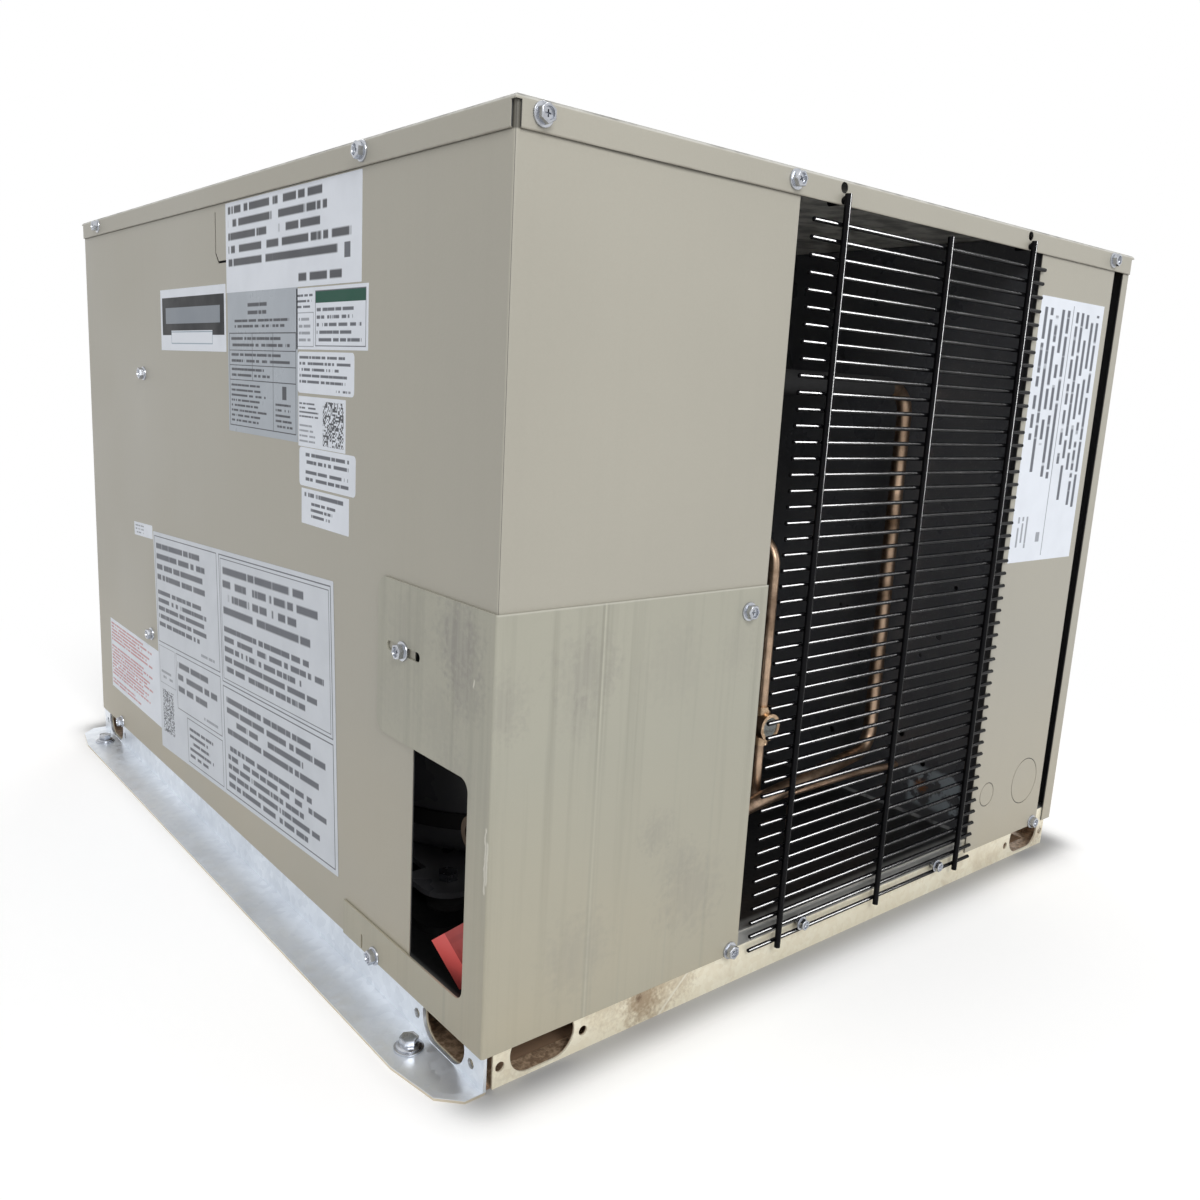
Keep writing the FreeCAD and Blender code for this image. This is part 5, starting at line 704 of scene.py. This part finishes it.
# %% Helpers for modelling
UP, DOWN = 1, -1
SIDE_TURNS = {
    side: (math.radians(90), 0, math.radians(turn))
    for side, turn in (("front", 0), ("left", -90), ("right", 90), ("rear", 180))
}


def only(*pieces):
    """Selects these pieces and nothing else; the last becomes the active one."""
    if bpy.context.object and bpy.context.object.mode != "OBJECT":
        bpy.ops.object.mode_set(mode="OBJECT")
    bpy.ops.object.select_all(action="DESELECT")
    for piece in pieces:
        piece.select_set(True)
        bpy.context.view_layer.objects.active = piece


def pick(piece, *ways):
    """Opens the piece for editing, with the faces selected that look these ways."""
    only(piece)
    bpy.ops.object.mode_set(mode="EDIT")
    bpy.ops.mesh.select_mode(type="FACE")
    bpy.ops.mesh.select_all(action="DESELECT")
    bpy.ops.object.mode_set(mode="OBJECT")
    for face in piece.data.polygons:
        face.select = any(face.normal.z * way > 0.9 for way in ways)
    bpy.ops.object.mode_set(mode="EDIT")


def opened(piece):
    """Opens the piece for editing, with all of it selected."""
    only(piece)
    bpy.ops.object.mode_set(mode="EDIT")
    bpy.ops.mesh.select_all(action="SELECT")


def pulled(*way):
    """Extrudes the selected faces and moves them."""
    bpy.ops.mesh.extrude_region_move(TRANSFORM_OT_translate={"value": way})


def closed():
    """Leaves edit mode."""
    bpy.ops.object.mode_set(mode="OBJECT")


def settle(piece, place=(0, 0, 0), turn=(0, 0, 0)):
    """Puts a piece in place and writes the place into its mesh."""
    only(piece)
    piece.rotation_euler = turn
    piece.location = place
    bpy.ops.object.transform_apply(location=True, rotation=True, scale=True)


def softened(piece, offset, segments, *ways):
    """Bevels the edges of the faces that look these ways."""
    pick(piece, *ways)
    bpy.ops.mesh.bevel(offset=offset, segments=segments, affect="EDGES")
    closed()


def narrowed(piece, share):
    """Shrinks the lower face, which tapers the piece."""
    pick(piece, DOWN)
    bpy.ops.transform.resize(value=(share, share, 1))
    closed()


def prism(sides, radius, depth, middle):
    """An upright prism on the Z axis; with many sides it is a disc or a rod."""
    bpy.ops.mesh.primitive_cylinder_add(vertices=sides, radius=radius, depth=depth, location=(0, 0, middle))
    made = bpy.context.object
    settle(made, made.location)
    return made


def fixed(piece, kind, name, **settings):
    """Adds a modifier and applies it."""
    only(piece)
    made = piece.modifiers.new(name, kind)
    for key, value in settings.items():
        setattr(made, key, value)
    bpy.ops.object.modifier_apply(modifier=name)


def cut(piece, cutter):
    """Takes one piece's volume out of another and removes the cutter."""
    fixed(piece, "BOOLEAN", "cut", operation="DIFFERENCE", object=cutter, solver="EXACT")
    bpy.data.objects.remove(cutter)


def joined(pieces, name):
    """Makes one piece of several."""
    only(*pieces)
    bpy.ops.object.join()
    made = bpy.context.object
    made.name = name
    return made


def copy_of(piece):
    """A copy with a mesh of its own."""
    made = piece.copy()
    made.data = piece.data.copy()
    bpy.context.collection.objects.link(made)
    return made


def finished(piece, finish, body, angle=35):
    """Smooth shading, one finish, and the body the piece rides on."""
    only(piece)
    bpy.ops.object.shade_smooth_by_angle(angle=math.radians(angle))
    piece.data.materials.clear()
    piece.data.materials.append(finish.block)
    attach(piece, body)


print("modelling helpers ready")

# %% [markdown]
# ### Wire guard
# The guard is 48 level wires welded behind three uprights, two of which hook over into the lid's
# flange. One wire is a slim cylinder, copied up at the real pitch. An upright starts as a disc that
# is pulled up, spun through a quarter turn for the hook and pulled back. Sixteen sides are enough
# under smooth shading, which stays sharp at the chamfered ends, or the tilted normals there would
# drag the streaks along the wire. The streak panel is linked to the guard alone.

# %% Level wires
ROUND_SIDES = 16
WIRE_Y = -0.3903
WIRE_PITCH = 0.01055
FIRST_WIRE = 0.02225
WIRE_COUNT = 48
WIRE_ENDS = (-0.104, 0.181)
WIRE_WIDTH = 0.003
END_WAVER = 0.0004


def level_wire(width):
    """A wire along X with rounded ends, centred on the origin."""
    made = prism(ROUND_SIDES, width / 2, WIRE_ENDS[1] - WIRE_ENDS[0], 0)
    softened(made, width * 0.25, 1, UP, DOWN)
    settle(made, ((WIRE_ENDS[0] + WIRE_ENDS[1]) / 2, WIRE_Y, 0), (0, math.radians(90), 0))
    return made


pattern = level_wire(WIRE_WIDTH)
wires = []
for row in range(WIRE_COUNT):
    one = copy_of(pattern)
    settle(one, (END_WAVER * math.sin(row * 2.3), 0, FIRST_WIRE + row * WIRE_PITCH))
    wires.append(one)
bpy.data.objects.remove(pattern)
print(len(wires), "level wires")

# %% Uprights with their hooks
UPRIGHT_WIDTH = 0.0045
WELD_DEPTH = 0.0004
UPRIGHT_Y = WIRE_Y - WIRE_WIDTH / 2 - UPRIGHT_WIDTH / 2 + WELD_DEPTH
GUARD_FOOT = 0.018
HOOK_TOP, HOOK_RADIUS, HOOK_REACH = 0.5406, 0.004, 0.011
MIDDLE_TOP = 0.5255


def upright(x, hooked):
    """A rod from the foot to the lid, with a quarter bend into the lid's flange if it is hooked."""
    bpy.ops.mesh.primitive_circle_add(vertices=ROUND_SIDES, radius=UPRIGHT_WIDTH / 2, fill_type="NGON")
    made = bpy.context.object
    opened(made)
    rise = (HOOK_TOP - HOOK_RADIUS if hooked else MIDDLE_TOP) - GUARD_FOOT
    pulled(0, 0, rise)
    if hooked:
        bpy.ops.mesh.spin(
            steps=8, angle=math.radians(-90), center=(0, HOOK_RADIUS, rise), axis=(1, 0, 0))
        pulled(0, HOOK_REACH, 0)
    bpy.ops.mesh.select_all(action="SELECT")
    bpy.ops.mesh.remove_doubles(threshold=0.00001)
    bpy.ops.mesh.normals_make_consistent(inside=False)
    closed()
    settle(made, (x, UPRIGHT_Y, GUARD_FOOT))
    return made


UPRIGHTS = ((-0.0755, True), (0.042, False), (0.154, True))
guard = joined(wires + [upright(x, hooked) for x, hooked in UPRIGHTS], "guard_wires")
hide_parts("wire_guard")
finished(guard, guard_black, "unit", 25)
streaked = bpy.data.collections.new("streaked_wires")
streaked.objects.link(guard)
strip.light_linking.receiver_collection = streaked
print("guard of", len(guard.data.polygons), "faces")

# %% [markdown]
# ### Washer-head screws
# One hex screw with its washer forged on holds every panel. It is a disc for the washer, drawn down
# to a shank, and a hexagon that is dished and cut by two crossed bars with the Boolean modifier.
# Each copy is turned further about its own axis, as real screws all stand differently.

# %% One screw
WASHER_WIDTH, WASHER_THICK = 0.0125, 0.0013
HEX_WIDTH, HEX_HEIGHT, HEX_SINK = 0.0088, 0.0042, 0.0004
SHANK_WIDTH, SHANK_LENGTH = 0.005, 0.009
DISH_WIDTH, DISH_DEPTH = 0.0072, 0.0024
RECESS_SIZE = (0.005, 0.0012, 0.003)


def washer_screw():
    """A hex washer-head screw that stands on Z 0 and points its head up."""
    washer = prism(32, WASHER_WIDTH / 2, WASHER_THICK, WASHER_THICK / 2)
    pick(washer, DOWN)
    bpy.ops.mesh.inset(thickness=(WASHER_WIDTH - SHANK_WIDTH) / 2)
    pulled(0, 0, -SHANK_LENGTH)
    closed()
    softened(washer, 0.0005, 2, UP)
    top = WASHER_THICK + HEX_HEIGHT
    hex_depth = HEX_HEIGHT + HEX_SINK
    head = prism(6, HEX_WIDTH / 2 / math.cos(math.pi / 6), hex_depth, top - hex_depth / 2)
    softened(head, 0.00055, 3, UP)
    dish = prism(28, DISH_WIDTH / 2, DISH_DEPTH, top)
    narrowed(dish, 0.82)
    cut(head, dish)
    for turn in (0, 90):
        bpy.ops.mesh.primitive_cube_add(size=1, location=(0, 0, top - 0.0012))
        bar = bpy.context.object
        bar.scale = RECESS_SIZE
        settle(bar, bar.location, (0, 0, math.radians(turn)))
        narrowed(bar, 0.45)
        cut(head, bar)
    return joined([head, washer], "screw_model")


screw_model = washer_screw()
print("screw of", len(screw_model.data.polygons), "faces")

# %% Screws in their places
LID_FACE, PANEL_FACE = (0.3285, 0.39), (0.327, 0.3885)
GUARD_FACE = (0, WIRE_WIDTH / 2 - WIRE_Y)
LID_ROW, FOOT_ROW, GUARD_ROW = 0.5383, 0.029, 0.027525
GUARD_SCREW_SHARE = 0.85
SCREWS = {  # the face's half sizes, then each screw's side, place along it and height
    "top_cover_screws": (LID_FACE, (
        ("front", -0.312, LID_ROW), ("front", -0.122, LID_ROW), ("front", 0.291, LID_ROW),
        ("left", -0.232, LID_ROW), ("left", 0.332, LID_ROW), ("right", -0.232, LID_ROW),
        ("right", 0.332, LID_ROW), ("rear", -0.312, LID_ROW), ("rear", 0.312, LID_ROW))),
    "side_panel_screws": (PANEL_FACE, (
        ("left", 0.203, 0.15), ("left", 0.203, 0.3985), ("right", 0.203, 0.15), ("right", 0.203, 0.3985))),
    "foot_screws": (PANEL_FACE, (
        ("left", 0.3145, FOOT_ROW), ("right", 0.3145, FOOT_ROW), ("right", -0.26, FOOT_ROW),
        ("front", 0.29, FOOT_ROW))),
    "corner_cover_screws": (LID_FACE, (
        ("front", -0.132, 0.272), ("front", -0.123, FOOT_ROW), ("left", -0.291, 0.246),
        ("left", -0.26, FOOT_ROW))),
    "guard_screws": (GUARD_FACE, (("front", -0.0475, GUARD_ROW), ("front", 0.128, GUARD_ROW))),
}


def place_on(face, side, along, height):
    """A place on one of the casing's four sides."""
    half_x, half_y = face
    if side in ("front", "rear"):
        return along, half_y if side == "rear" else -half_y, height
    return half_x if side == "right" else -half_x, along, height


turned = 0
for group, (face, places) in SCREWS.items():
    heads = []
    for side, along, height in places:
        one = copy_of(screw_model)
        if group == "guard_screws":
            one.scale = (GUARD_SCREW_SHARE,) * 3
        settle(one, turn=(0, 0, math.radians(37 * turned % 360)))
        settle(one, place_on(face, side, along, height), SIDE_TURNS[side])
        heads.append(one)
        turned += 1
    made = joined(heads, group.replace("_screws", "_hex_screws"))
    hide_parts(group)
    finished(made, screw_zinc, "unit")
bpy.data.objects.remove(screw_model)
print(turned, "screws set")

# %% [markdown]
# ### Rail bolts
# Flange bolts on large round washers hold the rail down: a loose washer, a skirt, and a hexagon
# with softened edges.

# %% Rail bolts
RAIL_BOLTS = ((-0.3395, -0.3265), (-0.3395, 0.3365))
RAIL_TOP = 0.002
BOLT_WASHER, BOLT_SKIRT, BOLT_HEX = (0.0095, 0.0014), (0.008, 0.001), (0.0062, 0.0052)  # radius, height
SKIRT_SLOPE, BOLT_SINK = 0.0008, 0.0004


def rail_bolt():
    """A bolt's visible end: a loose washer, a skirt and a hexagon with a sunken top."""
    washer = prism(40, *BOLT_WASHER, BOLT_WASHER[1] / 2)
    softened(washer, 0.0004, 2, UP, DOWN)
    skirt = prism(32, *BOLT_SKIRT, BOLT_WASHER[1] + BOLT_SKIRT[1] / 2)
    pick(skirt, UP)
    pulled(0, 0, SKIRT_SLOPE)
    bpy.ops.transform.resize(value=(0.82, 0.82, 1))
    closed()
    hex_foot = BOLT_WASHER[1] + BOLT_SKIRT[1] + SKIRT_SLOPE - BOLT_SINK
    head = prism(6, *BOLT_HEX, hex_foot + BOLT_HEX[1] / 2)
    pick(head, UP)
    bpy.ops.mesh.inset(thickness=0.001)
    bpy.ops.transform.translate(value=(0, 0, -0.0006))
    closed()
    fixed(head, "BEVEL", "soft", width=0.0004, segments=2, limit_method="ANGLE")
    return joined([washer, skirt, head], "bolt_top")


bolt_tops = []
for x, y in RAIL_BOLTS:
    one = rail_bolt()
    settle(one, (x, y, RAIL_TOP), (0, 0, 0.4 + y))
    bolt_tops.append(one)
bolts = joined(bolt_tops, "rail_bolt_tops")
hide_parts("rail_bolts")
finished(bolts, screw_zinc, "unit")
print(len(bolt_tops), "rail bolts")

# %% [markdown]
# ## Stickers
# The left side carries eleven paper and foil stickers, and the control cover one more. Each is a
# plane given its size, rounded at the corners and pulled up by an eighth of a millimetre. Nothing
# is written on them: the print is a generic form of frames, bars and blocks, and the rows of bars
# have ragged ends and gaps. The shader works in the sticker's own millimetres, which a Mapping
# node of type Texture gives by undoing the place and turn of the sticker.

# %% Print made of bars and blocks
INK = (0.1, 0.105, 0.118)
GREY = (0.15, 0.16, 0.185)
PALE = (0.36, 0.38, 0.42)
SOFT_EDGE = 0.25
BAR_SHARE, SHORTEST_ROW = 0.36, 0.74


def edge_of(u, v, box):
    """Distance in mm from a box's edge: below zero inside."""
    u0, v0, u1, v1 = box
    across = abs(u - (u0 + u1) / 2) - (u1 - u0) / 2
    along = abs(v - (v0 + v1) / 2) - (v1 - v0) / 2
    return across.step("MAXIMUM", along)


def rows_of(u, v, box, count, weight):
    """Rows of bars with ragged right ends and short gaps."""
    form = u.finish
    u0, v0, u1, v1 = box
    pitch = (v1 - v0) / count
    place = (v1 - v) / pitch
    row = place.step("FLOOR")
    thick = place.step("FRACT").band(0.5, weight * BAR_SHARE, 0.12)
    chance = form.value("TexWhiteNoise", {"W": row + u0}, "Value", noise_dimensions="1D")
    end = chance.between(0, 1, u0 + (u1 - u0) * SHORTEST_ROW, u1)
    short = (u - end).below(0, SOFT_EDGE)
    words = form.node("CombineXYZ", {"X": u / (pitch * 1.05), "Y": row * 5.7, "Z": v0})
    gaps = form.grain(1.0, 1.0, vector=words.outputs[0]).between(0.38, 0.43)
    return product(thick, short, gaps)


def cells_of(u, v, size):
    """Little squares, each dark or light by chance."""
    corner = u.finish.node("CombineXYZ", {"X": (u / size).step("FLOOR"), "Y": (v / size).step("FLOOR")})
    chance = u.finish.value("TexWhiteNoise", {"Vector": corner.outputs[0]}, "Value", noise_dimensions="2D")
    return chance.between(0.49, 0.51)


def printed(name, place, turn, paper, marks, gloss=0.38):
    """Paper or foil with a generic form; marks are (kind, ink, settings, boxes in mm)."""
    made = Finish(name, paper, 0.0, gloss)
    made.constant("Specular IOR Level", 0.12)
    own = made.node("Mapping", {
        "Vector": made.node("TexCoord").outputs["Object"], "Location": place, "Rotation": turn,
        "Scale": (0.001, 0.001, 0.001)}, vector_type="TEXTURE")
    u, v, _ = made.axes(own.outputs[0])
    worn = made.grain(35.0, 3.0)
    shade = made.blend(worn.between(0.4, 0.7, 0.0, 0.5), paper, tinted(paper, 0.9))
    for kind, ink, settings, *boxes in marks:
        for box in boxes:
            edge = edge_of(u, v, box)
            if kind == "frame":
                amount = abs(edge).below(settings[0] / 2, settings[0] / 2 + SOFT_EDGE)
            else:
                amount = edge.below(0, SOFT_EDGE)
            if kind == "rows":
                amount = amount * rows_of(u, v, box, *settings)
            elif kind == "cells":
                amount = amount * cells_of(u, v, *settings)
            shade = made.blend(amount, shade, ink)
    made.paint(shade)
    made.roughen(worn, gloss - 0.06, gloss + 0.08)
    made.relief(made.grain(240.0, 2.0), 0.0001, 0.25)
    return made


print("print helpers ready")

# %% One sticker
STICKER_THICK = 0.00013
WHITE = (0.83, 0.87, 0.94)


def sticker(name, middle, size, marks, paper=WHITE, side="left", tilt=0.0, corner=0.4, lift=0.0,
            gloss=0.38):
    """A sticker with its middle at (along the side, up), in mm like its size and its corners."""
    turn = (Euler(SIDE_TURNS[side]).to_matrix() @ Matrix.Rotation(math.radians(tilt), 3, "Z")).to_euler()
    face = [half + lift for half in PANEL_FACE]
    place = place_on(face, side, middle[0] / 1000, middle[1] / 1000)
    bpy.ops.mesh.primitive_plane_add(size=1)
    made = bpy.context.object
    made.name = name
    opened(made)
    bpy.ops.transform.resize(value=(size[0] / 1000, size[1] / 1000, 1))
    bpy.ops.mesh.bevel(offset=corner / 1000, segments=4, affect="VERTICES")
    bpy.ops.mesh.select_all(action="SELECT")
    pulled(0, 0, STICKER_THICK)
    bpy.ops.mesh.select_all(action="SELECT")
    bpy.ops.mesh.normals_make_consistent(inside=False)
    closed()
    settle(made, place, turn)
    finished(made, printed("print_" + name, place, turn, paper, marks, gloss), "unit")
    return made


print("sticker helper ready")

# %% Upper group of stickers
FOIL = (0.46, 0.5, 0.55)
DARK = (0.075, 0.08, 0.095)
sticker("notice_form", (-118.6, 496.5), (222.2, 65.0), (
    ("rows", INK, (5, 0.62), (-106, -15.5, 101, 31.5)), ("rows", INK, (1, 0.6), (20, -31, 107, -21.5)),
    ("block", GREY, (), (88, -17, 96, -8))))
sticker("name_place", (72.5, 445.5), (155.0, 51.0), (
    ("block", (0.005, 0.007, 0.011), (), (-73, -12.5, 74, 18.5)),
    ("block", WHITE, (), (-50, -25, 48, -9)),
    ("frame", (0.3, 0.38, 0.46), (0.5,), (-50, -19.5, 48, -10)),
    ("block", (0.26, 0.29, 0.33), (), (-64, -3, 65, 10))))
sticker("rating_form", (-73.0, 412.0), (128.0, 104.0), (
    ("rows", DARK, (2, 0.5), (-24, 34, 22, 45), (-50, 25, 52, 33)),
    ("frame", DARK, (0.5,), (-61, -47, 61, 22)),
    ("frame", DARK, (0.4,), (-61, 9.5, 61, 22), (-61, -12.5, 61, -1.5), (-16, -12.5, 22, 22),
     (22, -47, 61, -12.5)),
    ("rows", DARK, (2, 0.45), (-57, 11, 57, 20.5), (-57, -0.5, 57, 8.5), (-57, -11, 20, -2.5)),
    ("rows", DARK, (8, 0.42), (-58, -45, 12, -14.5)), ("rows", DARK, (5, 0.42), (26, -45, 58, -26)),
    ("block", DARK, (), (38, -24, 45, -15))), paper=FOIL, gloss=0.3)
sticker("side_form", (-187.0, 443.0), (104.0, 40.0), (
    ("block", (0.01, 0.085, 0.055), (), (-22, 10, 49, 17.5)),
    ("frame", GREY, (0.4,), (-22, -17.5, 49, 17.5)),
    ("rows", GREY, (5, 0.45), (-20, -16, 47, 8)), ("rows", GREY, (3, 0.4), (-50, 6, -26, 17)),
    ("frame", PALE, (0.35,), (-51, -18, -25, 4)), ("rows", PALE, (4, 0.4), (-48, -16, -28, 2))))
sticker("rounded_form", (-179.0, 407.8), (84.0, 27.5), (
    ("rows", GREY, (5, 0.46), (-39, -8, 39, 12)), ("rows", GREY, (1, 0.5), (17, -12.5, 38, -9.5))),
    corner=3.0)
sticker("code_place", (-173.7, 375.0), (71.5, 34.0), (
    ("rows", GREY, (4, 0.4), (-34, 2, -3, 13.5)), ("rows", PALE, (4, 0.35), (-34, -15, -8, -1)),
    ("cells", INK, (1.2,), (3, -14.5, 33, 14.5))))
sticker("lower_rounded_form", (-181.7, 344.3), (84.5, 26.5), (
    ("rows", GREY, (2, 0.5), (-32, 1, 36, 11), (-32, -10.5, 36, -1)),), corner=3.0)
sticker("current_form", (-179.0, 317.2), (72.0, 24.5), (
    ("rows", GREY, (1, 0.55), (-31, 5.5, 31, 11)), ("rows", GREY, (3, 0.5), (-21, -8, 21, 4.5))))
print("upper stickers placed")

# %% Lower group of stickers
PINK = (0.62, 0.33, 0.34)
sticker("strip_form", (220.0, 249.5), (56.0, 13.0), (
    ("rows", PALE, (3, 0.4), (-24, -5, 10, 5)),), tilt=2.9)
sticker("pink_form", (262.0, 99.0), (166.0, 76.0), (
    ("rows", PINK, (6, 0.62), (-80, 14, 60, 35)), ("rows", PINK, (10, 0.62), (-80, -24, 60, 10)),
    ("rows", PINK, (2, 0.6), (-80, -34, 20, -27))), tilt=-0.5)
sticker("large_form", (-7.0, 157.4), (383.0, 210.0), (
    ("frame", GREY, (0.6,), (-188, 0, -27, 101)),
    ("frame", GREY, (0.7,), (-21, -6, 187, 101), (-21, -101, 187, -10)),
    ("frame", GREY, (0.4,), (-18, -3, 184, 98)), ("frame", PALE, (0.4,), (-188, -40, -144, -4)),
    ("frame", GREY, (0.5,), (-140, -56, -27, -4), (-115, -101, -27, -60)),
    ("rows", GREY, (4, 0.56), (-184, 58, -38, 97)), ("rows", GREY, (5, 0.56), (-184, 14, -38, 52)),
    ("rows", PALE, (1, 0.5), (-72, 4, -32, 9), (-70, -53, -32, -48)),
    ("rows", GREY, (3, 0.5), (-136, -42, -34, -8)), ("rows", PALE, (2, 0.5), (-184, -36, -148, -26)),
    ("cells", GREY, (1.3,), (-183, -88, -152, -46)), ("rows", GREY, (5, 0.45), (-110, -97, -50, -66)),
    ("rows", GREY, (4, 0.58), (-14, 50, 172, 94), (-14, -52, 180, -16)),
    ("rows", GREY, (5, 0.58), (-14, 2, 180, 44), (-14, -98, 180, -58))),
    paper=(0.7, 0.735, 0.79), tilt=2.8, lift=0.00014, corner=1.0)
sticker("cover_form", (237.5, 391.5), (217.0, 105.0), (
    ("rows", GREY, (5, 0.5), (-100, 4, 66, 48), (-100, -48, 40, -2)),
    ("frame", PALE, (0.4,), (-104, 0.4, 104, 1.0)), ("rows", PALE, (3, 0.4), (70, -46, 98, -26)),
    ("block", PALE, (), (84, -12, 92, -6))), side="front", tilt=-90)
print("lower stickers placed")

# %% [markdown]
# ### Red card in the line opening
# A loose red card stands behind the line opening, one corner down, and leans on the inside of the
# panel. It is a divided plane with a bend for its curl and a Solidify modifier for its thickness.
# It was placed along the camera's view lines, so its corner falls where the picture shows it.

# %% Red card
CARD_CORNER = Vector((-0.32, -0.3188, 0.0653))
CARD_BACK = Vector((-4.0, -42.8, 32.8)).normalized()
CARD_LENGTH, CARD_HEIGHT, CARD_THICK = 0.062, 0.0346, 0.0005
RED_CARD = (0.42, 0.055, 0.05)
BRIGHT_RED, DARK_RED = (0.84, 0.135, 0.125), (0.36, 0.045, 0.042)

card_down = Vector((8.84, -22.4, -28.2))
card_down = (card_down - card_down.dot(CARD_BACK) * CARD_BACK).normalized()
card_face = CARD_BACK.cross(card_down)
card_turn = Matrix((CARD_BACK, card_down, card_face)).transposed().to_euler()
card_middle = CARD_CORNER + CARD_BACK * CARD_LENGTH / 2 + card_down * CARD_HEIGHT / 2

bpy.ops.mesh.primitive_plane_add(size=1)
card = bpy.context.object
card.name = "red_card"
opened(card)
bpy.ops.transform.resize(value=(CARD_LENGTH, CARD_HEIGHT, 1))
bpy.ops.mesh.subdivide(number_cuts=14)
closed()
fixed(card, "SIMPLE_DEFORM", "curl", deform_method="BEND", deform_axis="Y", angle=math.radians(16))
fixed(card, "SOLIDIFY", "thickness", thickness=CARD_THICK)
settle(card, card_middle, card_turn)
# The card is a lighter red on its left part, with rows of darker red on the rest.
finished(card, printed("red_card_tones", card_middle, card_turn, RED_CARD, (
    ("block", BRIGHT_RED, (), (-32, -18, -9, 18)), ("rows", DARK_RED, (4, 0.4), (-8, -15, 26, 15)))),
    "unit")
print("card of", len(card.data.polygons), "faces")
